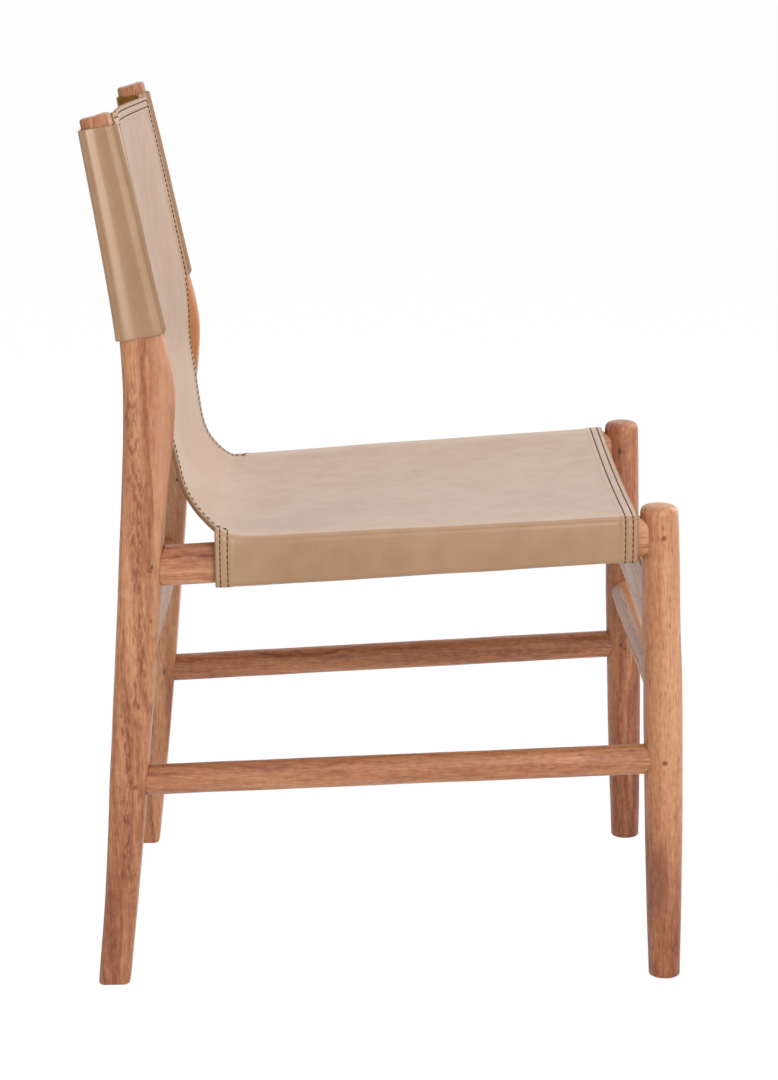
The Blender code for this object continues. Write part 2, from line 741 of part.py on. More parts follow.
def leather_sling():
    """The whole hide as one sheet with its thickness."""
    bm = bmesh.new()
    grid = [[bm.verts.new(place) for place in line] for line in hide_grid()]
    bridge_rows(bm, grid)
    rows = edge_rows()
    seat_start = len(rows) - 1 - len(SEAT_ROW_SHARES)
    for column, (side_name, side) in zip((0, -1), SIDES):
        x = side * LEG_SPACING / 2
        sleeve_column = [line[column] for line in grid[:SLEEVE_ROWS + 1]]
        heights = [blend(SLEEVE_TOP, SLEEVE_BOTTOM, i / SLEEVE_ROWS) for i in range(SLEEVE_ROWS + 1)]
        strips = [[(x + side * a, b, c) for a, b, c in sleeve_path(height)] for height in heights]
        sew_strip(bm, sleeve_column, strips)
        seat_column = [line[column] for line in grid[seat_start:]]
        wraps = [wrap_path(row[0], side_name) for row in rows[seat_start:]]
        wraps = [[(x + side * a, b, c) for a, b, c in path] for path in wraps]
        sew_strip(bm, seat_column, wraps)
    bmesh.ops.recalc_face_normals(bm, faces=bm.faces)
    middle = min(bm.faces, key=lambda face: face.calc_center_median().length)
    if middle.normal.z < 0:
        bmesh.ops.reverse_faces(bm, faces=bm.faces)
    data = bpy.data.meshes.new("leather_sling")
    bm.to_mesh(data)
    bm.free()
    hide = new_object("leather_sling", data)
    solidify = hide.modifiers.new("thickness", "SOLIDIFY")
    solidify.thickness = HIDE_THICKNESS
    solidify.offset = -1.0
    solidify.use_even_offset = True
    return finish_piece(hide, HIDE, HIDE_CREASE_ANGLE)


def tack(name, side, share, rail, hide):
    """A domed tack up through the hide into the underside of a seat rail, and its hole."""
    (rear_y, rear_z), (front_y, front_z) = rail_line()
    first = hide_foot() - TACK_END_MARGIN
    last = leg_axis(RAIL_FRONT_TOP) + SEAT_OVERHANG_GAP + TACK_END_MARGIN
    y = blend(first, last, share)
    seat = rail_top(y) - RAIL_HEIGHT - HIDE_GAP - HIDE_THICKNESS - FIT_GAP
    climb = math.atan2(front_z - rear_z, rear_y - front_y)
    matrix = Matrix.Translation((side * LEG_SPACING / 2, y, seat)) @ Matrix.Rotation(-climb, 4, "X")
    shank = TACK_SHANK_DIAMETER / 2
    head = TACK_HEAD_DIAMETER / 2
    profile = [(0.0, TACK_SHANK_LENGTH), (shank, TACK_SHANK_LENGTH - shank), (shank, 0.0), (head, 0.0)]
    profile += [(head * math.cos(turn), -TACK_HEAD_HEIGHT * math.sin(turn))
                for turn in TACK_DOME_TURNS]
    profile.append((0.0, -TACK_HEAD_HEIGHT))
    pin = turned(name, profile, TACK_SIDES, matrix)
    hole_radius = (shank + FIT_GAP) / math.cos(math.pi / TACK_HOLE_SIDES)
    hole_top = TACK_SHANK_LENGTH + FIT_GAP
    bm = bmesh.new()
    bmesh.ops.create_cone(
        bm, cap_ends=True, segments=TACK_HOLE_SIDES, radius1=hole_radius, radius2=hole_radius,
        depth=hole_top + CUT_OVERRUN,
        matrix=Matrix.Translation((0.0, 0.0, (hole_top - CUT_OVERRUN) / 2)),
    )
    hole = as_cutter(mesh_from(name + "_hole", bm, matrix))
    combine(rail, hole, "DIFFERENCE")
    combine(hide, hole, "DIFFERENCE")
    return finish_piece(pin, TACK_METAL)


# Assembly

def build_side(side_name, side, posts, legs, rails, stretchers):
    """One side frame: a rear post, a front leg, a seat rail and a stretcher."""
    post = rear_post("rear_post_" + side_name, side)
    leg = front_leg("front_leg_" + side_name, side)
    copes = [swollen(piece, piece.name + "_grown", FIT_GAP) for piece in (post, leg)]
    rail = side_bar("seat_rail_" + side_name, "rail", side, *rail_line(), post, leg, copes)
    stretcher = side_bar(
        "side_stretcher_" + side_name, "stretcher", side, *stretcher_line(), post, leg, copes
    )
    for bar, line, label in ((rail, rail_line(), "seat_rail"),
                             (stretcher, stretcher_line(), "side_stretcher")):
        (rear_y, rear_z), (front_y, front_z) = line
        climb = (front_z - rear_z) / (front_y - rear_y)
        rear = (rear_y + PEG_INSET, rear_z + PEG_INSET * climb)
        peg("peg_%s_rear_%s" % (label, side_name), side, rear, POST_THICKNESS, (post, bar))
        length = 2 * leg_radius(front_z)
        peg("peg_%s_front_%s" % (label, side_name), side, (front_y, front_z), length, (leg, bar))
    posts.append(post)
    legs.append(leg)
    rails.append(rail)
    stretchers.append(stretcher)
    return copes


def build_cross_pieces(posts, legs, post_copes, leg_copes):
    """The front stretcher and the two aprons."""
    cross_piece(
        "front_stretcher", (leg_axis(FRONT_STRETCHER_CENTRE), FRONT_STRETCHER_CENTRE),
        (FRONT_STRETCHER_WIDTH, FRONT_STRETCHER_HEIGHT),
        (FRONT_STRETCHER_TENON, FRONT_STRETCHER_TENON), 0.0, leg_copes, legs, True,
    )
    centre = FRONT_APRON_BOTTOM + FRONT_APRON_HEIGHT / 2
    apron("front_apron", leg_axis(centre) + FRONT_APRON_SETBACK, FRONT_APRON_BOTTOM,
          FRONT_APRON_HEIGHT, leg_copes, legs)
    centre = REAR_APRON_BOTTOM + REAR_APRON_HEIGHT / 2
    apron("rear_apron", post_front(centre) + REAR_APRON_SETBACK + APRON_THICKNESS / 2,
          REAR_APRON_BOTTOM, REAR_APRON_HEIGHT, post_copes, posts)


def build_chair():
    """Every piece of the chair."""
    clear_scene()
    posts, legs, rails, stretchers = [], [], [], []
    post_copes, leg_copes = [], []
    for side_name, side in SIDES:
        post_cope, leg_cope = build_side(side_name, side, posts, legs, rails, stretchers)
        post_copes.append(post_cope)
        leg_copes.append(leg_cope)
    build_cross_pieces(posts, legs, post_copes, leg_copes)
    hide = leather_sling()
    for (side_name, side), rail in zip(SIDES, rails):
        for number in range(TACKS_PER_RAIL):
            share = number / (TACKS_PER_RAIL - 1)
            tack("tack_%s_%d" % (side_name, number + 1), side, share, rail, hide)


build_chair()
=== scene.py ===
"""Dressed teak dining chair: a leather hide hung between two posts and laid over two rails.

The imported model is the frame. Every piece of wood is rebuilt here with finer arrises and
joints, and the hide gets its folded hems, its stitching and its grain. All is in metres.
"""
import logging
import math
from dataclasses import dataclass, fields
from enum import Enum
from functools import lru_cache
from typing import Callable, Sequence

import bmesh
import bpy
from mathutils import Matrix, Vector, noise


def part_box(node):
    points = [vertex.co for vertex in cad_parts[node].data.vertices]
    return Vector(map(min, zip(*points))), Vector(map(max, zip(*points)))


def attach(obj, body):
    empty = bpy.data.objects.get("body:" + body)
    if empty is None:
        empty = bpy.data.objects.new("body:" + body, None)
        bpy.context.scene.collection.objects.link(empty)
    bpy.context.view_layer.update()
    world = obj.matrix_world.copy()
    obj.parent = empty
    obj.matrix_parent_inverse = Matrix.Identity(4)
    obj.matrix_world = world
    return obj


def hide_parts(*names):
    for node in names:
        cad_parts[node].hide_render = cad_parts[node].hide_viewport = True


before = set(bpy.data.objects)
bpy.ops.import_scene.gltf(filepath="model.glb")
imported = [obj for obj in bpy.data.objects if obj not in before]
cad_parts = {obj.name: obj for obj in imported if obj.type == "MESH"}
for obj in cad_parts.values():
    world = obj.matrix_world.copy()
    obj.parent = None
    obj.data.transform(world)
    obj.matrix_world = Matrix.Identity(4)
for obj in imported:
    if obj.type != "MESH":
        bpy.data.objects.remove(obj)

LOG = logging.getLogger("teak_chair")
BODY = "root"
CREASE_ANGLE = math.radians(38)
MERGE_DISTANCE = 0.00001
NOISE_SEED = 7
WAVER_SCALE = 18.0
FIBRES_PER_METRE = 1e5
# The hem mark is the way in from an edge; the second mark shares out the painted sheen and painted
# highlights.
HIDE_MARKS = ("hem", "rub")
SHEET_CREASE = math.radians(60)
SHEET_EDGE_ROUND = 0.0009
SHEET_EDGE_ANGLE = math.radians(62)
ORIGIN = (0.0, 0.0, 0.0)

Colour = tuple[float, float, float, float]
Place = tuple[float, float, float]
Stops = Sequence[tuple[float, Colour]]
Table = Sequence[tuple[float, float]]
Material = bpy.types.Material
Mesh = bmesh.types.BMesh
Piece = bpy.types.Object
Socket = bpy.types.NodeSocket
Tree = bpy.types.NodeTree


# Shared sums

def blend(low: float, high: float, share: float) -> float:
    """Straight step between two values."""
    return low + (high - low) * share


def ease(value: float) -> float:
    """Share from 0 to 1 with soft ends."""
    share = min(1.0, max(0.0, value))
    return share * share * (3.0 - 2.0 * share)


def evenly(start: float, end: float, count: int) -> list[float]:
    """Values at even steps from a start up to an end, which is left out."""
    return [blend(start, end, step / count) for step in range(count)]


def hill(value: float, middle: float, width: float) -> float:
    """Height at a value of a round hill of height 1."""
    return math.exp(-((value - middle) / width) ** 2)


def smooth(points: Table, place: float) -> float:
    """Value on a smooth curve through (place, value) points.

    Args:
        points: places in rising order, each with its value.
        place: where the value is wanted.

    Returns:
        The value, held at the ends of the table.
    """
    last = len(points) - 1
    if place <= points[0][0]:
        return points[0][1]
    if place >= points[last][0]:
        return points[last][1]
    index = max(i for i in range(last) if points[i][0] <= place)

    def slope(i: int) -> float:
        """Slope of the curve at one of its points."""
        before, after = points[max(i - 1, 0)], points[min(i + 1, last)]
        return (after[1] - before[1]) / (after[0] - before[0])

    (start, low), (end, high) = points[index], points[index + 1]
    span = end - start
    t = (place - start) / span
    return (
        (2 * t ** 3 - 3 * t ** 2 + 1) * low
        + (t ** 3 - 2 * t ** 2 + t) * span * slope(index)
        + (3 * t ** 2 - 2 * t ** 3) * high
        + (t ** 3 - t ** 2) * span * slope(index + 1)
    )


def written(red: int, green: int, blue: int) -> Colour:
    """Linear colour of a colour written as three numbers up to 255.

    Args:
        red: red as written.
        green: green as written.
        blue: blue as written.

    Returns:
        The colour with alpha 1, as Blender's sockets take it.
    """
    def linear(level: int) -> float:
        """One channel without its display curve."""
        share = level / 255
        return share / 12.92 if share <= 0.04045 else ((share + 0.055) / 1.055) ** 2.4

    return linear(red), linear(green), linear(blue), 1.0


class Side(Enum):
    """Side of the chair, as the sitter has it. The value is the sign of its X."""

    RIGHT = -1
    LEFT = 1

    @property
    def label(self) -> str:
        """The side's word in the names of pieces."""
        return self.name.lower()

    @property
    def index(self) -> int:
        """The side's place in a pair of values."""
        return list(Side).index(self)


class Grain(Enum):
    """Way that the fibres of a piece of wood run. The value turns them to Z."""

    UPRIGHT = ORIGIN
    FORE_AND_AFT = (math.pi / 2, 0.0, 0.0)
    ACROSS = (0.0, math.pi / 2, 0.0)


class HideFace(Enum):
    """Face of the hide that a finish is for."""

    SMOOTH = "hide_smooth_face"
    SUEDE = "hide_suede_face"
    CUT = "hide_cut_edge"


# Nodes and finishes

class Sketch:
    """Writes nodes into one node tree."""

    def __init__(self, tree: Tree) -> None:
        """Keep the tree that is written to."""
        self.tree = tree

    def add(self, kind: str, feeds: dict | None = None, **settings: object) -> bpy.types.Node:
        """Add a node.

        Args:
            kind: the node's type in Blender, without the word ShaderNode.
            feeds: inputs by name or number, each with a socket or a value.
            settings: the node's own settings.

        Returns:
            The new node.
        """
        node = self.tree.nodes.new("ShaderNode" + kind)
        for name, value in settings.items():
            setattr(node, name, value)
        self.feed(node, feeds or {})
        return node

    def feed(self, node: bpy.types.Node, feeds: dict) -> None:
        """Link sockets to a node's inputs, or write plain values there.

        Args:
            node: the node.
            feeds: inputs by name or number, each with a socket or a value.
        """
        for name, value in feeds.items():
            if isinstance(value, Socket):
                self.tree.links.new(value, node.inputs[name])
            else:
                node.inputs[name].default_value = value

    def sum(self, operation: str, *terms: object) -> Socket:
        """Result of one Math node on sockets or numbers."""
        return self.add("Math", dict(enumerate(terms)), operation=operation).outputs[0]

    def times(self, value: object, factor: object) -> Socket:
        """Product of two sockets or numbers."""
        return self.sum("MULTIPLY", value, factor)

    def swing(self, value: object, amount: object, base: object) -> Socket:
        """How far a noise is from its middle, times an amount, added to a base."""
        return self.sum("MULTIPLY_ADD", self.sum("SUBTRACT", value, 0.5), amount, base)

    def stretched(self, vector: object, scale: tuple[float, float, float]) -> Socket:
        """A vector with each of its axes scaled."""
        return self.add("VectorMath", {0: vector, 1: scale}, operation="MULTIPLY").outputs[0]

    def cloud(self, vector: object, scale: float | tuple[float, float, float],
              detail: float = 2.0) -> Socket:
        """Soft noise from 0 to 1 round 0.5.

        Args:
            vector: the place.
            scale: of the noise, one for all axes or one for each.
            detail: how many finer layers it has.

        Returns:
            The noise.
        """
        if isinstance(scale, tuple):
            vector, scale = self.stretched(vector, scale), 1.0
        feeds = {"Vector": vector, "Scale": scale, "Detail": detail}
        return self.add("TexNoise", feeds).outputs[0]

    def window(self, value: object, low: float, high: float, start: float = 0.0,
               end: float = 1.0) -> Socket:
        """A value's range made another range, with soft ends and nothing beyond them."""
        feeds = {"Value": value, 1: low, 2: high, 3: start, 4: end}
        return self.add("MapRange", feeds, interpolation_type="SMOOTHSTEP").outputs[0]

    def ramp(self, value: object, stops: Stops) -> Socket:
        """Colour from a value, through (place, colour) stops.

        Args:
            value: from 0 to 1.
            stops: places in rising order, each with its colour.

        Returns:
            The colour.
        """
        node = self.add("ValToRGB", {0: value})
        elements = node.color_ramp.elements
        while len(elements) < len(stops):
            elements.new(0.5)
        for element, (place, colour) in zip(elements, stops):
            element.position = place
            element.color = colour
        return node.outputs[0]

    def mixed(self, share: object, under: object, over: object) -> Socket:
        """Two colours mixed by a share.

        Args:
            share: of the colour on top.
            under: the colour below.
            over: the colour on top.

        Returns:
            The mixed colour.
        """
        feeds = {"Factor": share, "A": under, "B": over}
        return self.add("Mix", feeds, data_type="RGBA").outputs["Result"]

    def bump(self, height: object, strength: float, distance: float) -> Socket:
        """Normal from a height."""
        feeds = {"Height": height, "Strength": strength, "Distance": distance}
        return self.add("Bump", feeds).outputs[0]


def node_group(name: str, takes: dict, gives: Sequence[str]) -> tuple[Sketch, dict, Callable]:
    """Start a shader node group.

    Args:
        name: the group's name.
        takes: input names, each with a start value: a number or a vector.
        gives: names of the number outputs.

    Returns:
        The sketch to write with, the input sockets by name, and a function that feeds the
        outputs, in the order of their names.
    """
    tree = bpy.data.node_groups.new(name, "ShaderNodeTree")
    for label, value in takes.items():
        kind = "NodeSocketVector" if isinstance(value, tuple) else "NodeSocketFloat"
        made = tree.interface.new_socket(name=label, in_out="INPUT", socket_type=kind)
        made.default_value = value
    for label in gives:
        tree.interface.new_socket(name=label, in_out="OUTPUT", socket_type="NodeSocketFloat")
    sketch = Sketch(tree)
    inlet = tree.nodes.new("NodeGroupInput")
    outlet = tree.nodes.new("NodeGroupOutput")

    def give(*values: Socket) -> Tree:
        """Feed the group's outputs and hand over its tree."""
        sketch.feed(outlet, dict(zip(gives, values)))
        return tree

    return sketch, {socket.name: socket for socket in inlet.outputs}, give


@lru_cache
def timber_grain() -> Tree:
    """Node group with the fibres, year rings and pores of teak whose grain runs along Z.

    Returns:
        The group's tree.
    """
    takes = {"Vector": ORIGIN, "Ring Spacing": 0.004, "Ring Strength": 0.3,
             "Streak Strength": 0.3, "Pore Amount": 0.5}
    sketch, given, give = node_group("timber_grain", takes, ("Tone", "Pores", "Height"))
    place = given["Vector"]
    drift = sketch.cloud(place, (11.0, 11.0, 3.4), 3.0)
    sway = sketch.cloud(sketch.stretched(place, (9.0, 9.0, 2.6)), 1.7, 3.0)
    parts = sketch.add("SeparateXYZ", {0: place}).outputs
    across = sketch.sum("MULTIPLY_ADD", drift, 0.060, parts[0])
    along = sketch.sum("MULTIPLY_ADD", sway, 0.060, parts[1])
    square = sketch.sum("MULTIPLY_ADD", along, along, sketch.times(across, across))
    turn = sketch.sum("DIVIDE", sketch.sum("SQRT", square), given["Ring Spacing"])
    unrolled = sketch.add("CombineXYZ", {0: turn, 1: sketch.times(parts[2], 1.6), 2: 0.7})
    line = sketch.window(sketch.cloud(unrolled.outputs[0], 1.0, 4.0), 0.47, 0.70)
    broad = sketch.cloud(place, (36.0, 36.0, 3.2), 4.0)
    streak = sketch.cloud(place, (150.0, 150.0, 7.0), 4.0)
    fibre = sketch.cloud(place, (760.0, 760.0, 60.0), 3.0)
    ripple = sketch.cloud(place, (250.0, 250.0, 150.0), 3.0)
    tone = sketch.swing(broad, 1.0, 0.54)
    tone = sketch.sum("SUBTRACT", tone, sketch.times(line, given["Ring Strength"]))
    tone = sketch.sum("MULTIPLY_ADD", sketch.swing(streak, given["Streak Strength"], 0.0), 2.6, tone)
    tone = sketch.swing(ripple, 0.42, sketch.swing(fibre, 0.62, tone))
    dash = sketch.cloud(place, (780.0, 780.0, 78.0), 1.0)
    cluster = sketch.sum("MULTIPLY_ADD", broad, 0.5, sketch.times(line, 0.12))
    limit = sketch.sum("MULTIPLY_ADD", cluster, -0.24, 0.80)
    limit = sketch.sum("MULTIPLY_ADD", given["Pore Amount"], -0.09, limit)
    pores = sketch.window(sketch.sum("SUBTRACT", dash, limit), -0.01, 0.07)
    rough = sketch.sum("MULTIPLY_ADD", fibre, 0.7, sketch.times(streak, 0.6))
    return give(tone, pores, sketch.sum("SUBTRACT", rough, sketch.times(pores, 0.7)))


@lru_cache
def timber_patch() -> Tree:
    """Node group with a long patch of other wood, whole or broken up into fissures.

    Returns:
        The group's tree.
    """
    takes = {"Vector": ORIGIN, "Centre": 0.0, "Half Width": 0.006, "Low": 0.2, "High": 0.5,
             "Fissured": 1.0}
    sketch, given, give = node_group("timber_patch", takes, ("Share",))
    place = given["Vector"]
    parts = sketch.add("SeparateXYZ", {0: place}).outputs
    sway = sketch.cloud(place, (40.0, 40.0, 9.0), 3.0)
    offset = sketch.swing(sway, 0.026, sketch.sum("SUBTRACT", parts[1], given["Centre"]))
    reach = sketch.sum("DIVIDE", sketch.sum("ABSOLUTE", offset), given["Half Width"])
    start = sketch.window(sketch.sum("SUBTRACT", parts[2], given["Low"]), 0.0, 0.035)
    end = sketch.window(sketch.sum("SUBTRACT", given["High"], parts[2]), 0.0, 0.035)
    share = sketch.times(sketch.window(reach, 0.35, 1.15, 1.0, 0.0), sketch.times(start, end))
    crack = sketch.window(sketch.cloud(place, (310.0, 310.0, 95.0), 3.0), 0.48, 0.60, 0.08, 1.0)
    closed = sketch.sum("SUBTRACT", crack, 1.0)
    return give(sketch.times(share, sketch.sum("MULTIPLY_ADD", closed, given["Fissured"], 1.0)))


@lru_cache
def timber_knot() -> Tree:
    """Node group with one small knot: its dark heart and the fibres that part round it.

    Returns:
        The group's tree.
    """
    takes = {"Vector": ORIGIN, "Centre": ORIGIN, "Radius": 0.003}
    sketch, given, give = node_group("timber_knot", takes, ("Heart", "Halo"))
    feeds = {0: given["Vector"], 1: given["Centre"]}
    offset = sketch.add("VectorMath", feeds, operation="SUBTRACT").outputs[0]
    offset = sketch.stretched(offset, (1.0, 1.15, 0.55))
    ripple = sketch.cloud(given["Vector"], 420.0)
    length = sketch.add("VectorMath", {0: offset}, operation="LENGTH").outputs["Value"]
    reach = sketch.sum("DIVIDE", length, given["Radius"])
    reach = sketch.sum("ADD", reach, sketch.times(ripple, 0.7))
    return give(sketch.window(reach, 0.75, 1.5, 1.0, 0.0), sketch.window(reach, 1.1, 3.4, 1.0, 0.0))


@lru_cache
def hide_grain() -> Tree:
    """Node group with the pebble, mottle and fine stretch lines of a smooth tanned hide.

    Returns:
        The group's tree.
    """
    takes = {"Vector": ORIGIN, "Pebble Scale": 900.0, "Mottle": 0.8}
    sketch, given, give = node_group("hide_grain", takes, ("Tone", "Height"))
    place = given["Vector"]
    patch = sketch.cloud(place, 46.0, 4.0)
    tone = sketch.swing(sketch.cloud(place, 9.0, 3.0), 0.55, 0.0)
    tone = sketch.swing(sketch.cloud(place, 340.0), 0.20, sketch.swing(patch, 0.62, tone))
    tone = sketch.sum("MULTIPLY_ADD", tone, given["Mottle"], 0.5)
    feeds = {"Vector": place, "Scale": given["Pebble Scale"]}
    pebble = sketch.add("TexVoronoi", feeds, feature="SMOOTH_F1").outputs["Distance"]
    crease = sketch.cloud(place, (60.0, 60.0, 60.0), 5.0)
    height = sketch.sum("MULTIPLY_ADD", crease, 0.5, sketch.times(pebble, -0.30))
    return give(tone, sketch.sum("MULTIPLY_ADD", patch, 1.2, height))


@lru_cache
def hem_marks() -> Tree:
    """Node group that reads the way in from a hem's edge: the stitch valleys and the darker fold at
    the edge, for painted shade in the valleys and in a sleeve's seam crease.

    Returns:
        The group's tree.
    """
    takes = {"Way In": 0.03, "First Row": 0.0050, "Second Row": 0.0120}
    sketch, given, give = node_group("hem_marks", takes, ("Valley", "Fold"))
    valleys = []
    for row in ("First Row", "Second Row"):
        gap = sketch.sum("ABSOLUTE", sketch.sum("SUBTRACT", given["Way In"], given[row]))
        valleys.append(sketch.window(gap, 0.0, 0.0013, 1.0, 0.0))
    fold = sketch.window(given["Way In"], 0.0002, 0.0022, 1.0, 0.0)
    return give(sketch.sum("MAXIMUM", *valleys), fold)


def new_material(name: str) -> tuple[Material, Sketch, bpy.types.Node, Socket]:
    """Start a material with nodes.

    Args:
        name: the material's name.

    Returns:
        The material, the sketch to write with, its shader and the place on the piece.
    """
    material = bpy.data.materials.new(name)
    material.use_nodes = True
    sketch = Sketch(material.node_tree)
    place = sketch.add("TexCoord").outputs["Object"]
    return material, sketch, material.node_tree.nodes["Principled BSDF"], place


@dataclass(frozen=True)
class WoodPatch:
    """A long patch of darker or paler wood on an upright."""

    centre_y: float
    half_width: float
    low: float
    high: float
    colour: Colour
    amount: float
    fissured: float = 0.0


@dataclass(frozen=True)
class TeakFinish:
    """Oiled teak of one piece of wood."""

    name: str
    grain: Grain
    pith: Place
    ring_spacing: float = 0.0042
    ring_strength: float = 0.34
    streak_strength: float = 0.34
    pore_amount: float = 0.5
    lightness: float = 0.0
    knots: tuple[tuple[Place, float], ...] = ()
    patches: tuple[WoodPatch, ...] = ()
    # top_shade is painted shade at a post's top; foot_shade is painted shade towards the floor.
    top_shade: float = 0.0
    foot_shade: float = -0.27
    stops: Stops = (
        (0.0, written(118, 61, 35)), (0.24, written(152, 90, 57)), (0.50, written(183, 121, 82)),
        (0.74, written(203, 146, 105)), (1.0, written(218, 168, 128)),
    )
    pore_colour: Colour = written(104, 56, 34)
    halo_colour: Colour = written(132, 72, 44)
    heart_colour: Colour = written(70, 36, 24)

    def marked(self, sketch: Sketch, place: Socket, colour: Socket) -> Socket:
        """The plain wood's colour with this piece's patches and knots on it.

        Args:
            sketch: the material's sketch.
            place: the place on the piece.
            colour: the plain wood's.

        Returns:
            The marked colour.
        """
        for patch in self.patches:
            feeds = {"Vector": place, "Centre": patch.centre_y, "Half Width": patch.half_width,
                     "Low": patch.low, "High": patch.high, "Fissured": patch.fissured}
            share = sketch.add("Group", feeds, node_tree=timber_patch()).outputs["Share"]
            colour = sketch.mixed(sketch.times(share, patch.amount), colour, patch.colour)
        for centre, radius in self.knots:
            feeds = {"Vector": place, "Centre": centre, "Radius": radius}
            knot = sketch.add("Group", feeds, node_tree=timber_knot()).outputs
            colour = sketch.mixed(sketch.times(knot["Halo"], 0.32), colour, self.halo_colour)
            colour = sketch.mixed(sketch.times(knot["Heart"], 0.8), colour, self.heart_colour)
        return colour

    def material(self) -> Material:
        """The piece's own teak, with its pith and knots in place.

        Returns:
            The new material.
        """
        material, sketch, shader, place = new_material(self.name)
        feeds = {"Vector": place, "Location": self.pith, "Rotation": self.grain.value}
        feeds = {"Vector": sketch.add("Mapping", feeds).outputs[0],
                 "Ring Spacing": self.ring_spacing, "Ring Strength": self.ring_strength,
                 "Streak Strength": self.streak_strength, "Pore Amount": self.pore_amount}
        grain = sketch.add("Group", feeds, node_tree=timber_grain()).outputs
        tone = sketch.sum("ADD", grain["Tone"], self.lightness)
        height = sketch.add("SeparateXYZ", {0: place}).outputs[2]
        # Painted shade: the tone falls towards the floor and, on the posts, at the top.
        foot = sketch.window(height, 0.0, 0.26, self.foot_shade, 0.0)
        top = sketch.window(height, 0.800, 0.815, 0.0, self.top_shade)
        tone = sketch.sum("ADD", sketch.sum("ADD", tone, foot), top)
        colour = sketch.ramp(tone, self.stops)
        colour = sketch.mixed(sketch.times(grain["Pores"], 0.55), colour, self.pore_colour)
        dull = sketch.sum("MULTIPLY_ADD", tone, -0.16, 0.51)
        sketch.feed(shader, {
            "Base Color": self.marked(sketch, place, colour),
            "Roughness": sketch.sum("MULTIPLY_ADD", grain["Pores"], 0.2, dull),
            "Specular IOR Level": 0.5,
            "Normal": sketch.bump(grain["Height"], 0.5, 0.0007),
        })
        return material


@dataclass(frozen=True)
class SpeckledFinish:
    """A stuff that one fine noise speckles: end grain, thread or metal."""

    name: str
    scale: float
    detail: float
    stops: Stops
    roughness: tuple[float, float, float, float]
    metallic: tuple[float, float, float, float] = (0.0, 1.0, 0.0, 0.0)
    specular: float = 0.5
    patch_scale: float = 0.0
    bump: tuple[float, float] = (0.0, 0.0)

    def material(self) -> Material:
        """The finish, from one noise or from that and broader patches.

        Returns:
            The new material.
        """
        material, sketch, shader, place = new_material(self.name)
        speck = tone = sketch.cloud(place, self.scale, self.detail)
        if self.patch_scale > 0.0:
            patch = sketch.cloud(place, self.patch_scale, self.detail)
            tone = sketch.sum("MULTIPLY_ADD", speck, 0.5, sketch.times(patch, 0.5))
        sketch.feed(shader, {
            "Base Color": sketch.ramp(tone, self.stops),
            "Roughness": sketch.window(tone, *self.roughness),
            "Specular IOR Level": self.specular,
        })
        if self.metallic[3] > 0.0:
            sketch.feed(shader, {"Metallic": sketch.window(tone, *self.metallic)})
        if self.bump[0] > 0.0:
            sketch.feed(shader, {"Normal": sketch.bump(speck, *self.bump)})
        return material


PEG_END = SpeckledFinish(
    "teak_peg_end", 1500.0, 2.0,
    ((0.3, written(96, 50, 30)), (0.55, written(150, 92, 60)), (0.8, written(176, 116, 80))),
    (0.3, 0.8, 0.75, 0.55), patch_scale=260.0, bump=(0.4, 0.0004))
WAXED_THREAD = SpeckledFinish(
    "waxed_thread", 2100.0, 1.0, ((0.3, written(34, 24, 17)), (0.7, written(66, 49, 35))),
    (0.3, 0.7, 0.8, 0.6), specular=0.12)
TACK_METAL = SpeckledFinish(
    "aged_tack_metal", 520.0, 4.0, ((0.35, written(104, 82, 58)), (0.62, written(168, 150, 120))),
    (0.3, 0.7, 0.6, 0.32), (0.3, 0.5, 0.7, 1.0), bump=(0.3, 0.0003))


@dataclass(frozen=True)
class HideFinish:
    """Tanned leather, seen on its smooth face, its suede back or its cut edge."""

    face: HideFace
    stops: Stops
    roughness: tuple[float, float]
    bump: float
    specular: float
    sheen: float = 0.0
    # Paler colour of the painted sheen and painted highlights.
    rub_colour: Colour = written(212, 180, 152)
    # Painted shade in the stitch valleys.
    valley_colour: Colour = written(112, 80, 54)
    # Darker fold at the hem's edge, which in a sleeve's seam crease is painted shade.
    fold_colour: Colour = written(126, 94, 64)

    def material(self) -> Material:
        """The finish of this face of the hide.

        Returns:
            The new material.
        """
        material, sketch, shader, place = new_material(self.face.value)
        grain = sketch.add("Group", {"Vector": place}, node_tree=hide_grain()).outputs
        tone, height = grain["Tone"], grain["Height"]
        if self.face is HideFace.SUEDE:
            nap = sketch.cloud(place, 1300.0, 3.0)
            tone = sketch.swing(nap, 0.8, tone)
            height = sketch.sum("MULTIPLY_ADD", nap, 1.6, height)
        colour = sketch.ramp(tone, self.stops)
        dull = sketch.window(tone, 0.2, 0.8, *self.roughness)
        if self.face is HideFace.SMOOTH:
            # Painted sheen and highlights where the rub mark is; painted shade in the stitch valleys
            # and in a sleeve's seam crease.
            rub = sketch.add("Attribute", attribute_name="rub").outputs["Fac"]
            way_in = sketch.add("Attribute", attribute_name="hem").outputs["Fac"]
            marks = sketch.add("Group", {"Way In": way_in}, node_tree=hem_marks()).outputs
            for share, amount, tint in ((rub, 0.62, self.rub_colour),
                                        (marks["Valley"], 0.5, self.valley_colour),
                                        (marks["Fold"], 0.6, self.fold_colour)):
                colour = sketch.mixed(sketch.times(share, amount), colour, tint)
            height = sketch.sum("MULTIPLY_ADD", marks["Valley"], -1.2, height)
            rubbed = sketch.sum("MAXIMUM", marks["Valley"], marks["Fold"])
            dull = sketch.sum("MULTIPLY_ADD", rubbed, 0.5, dull)
        sketch.feed(shader, {
            "Base Color": colour, "Roughness": dull, "Specular IOR Level": self.specular,
            "Sheen Weight": self.sheen, "Normal": sketch.bump(height, self.bump, 0.0006),
        })
        return material


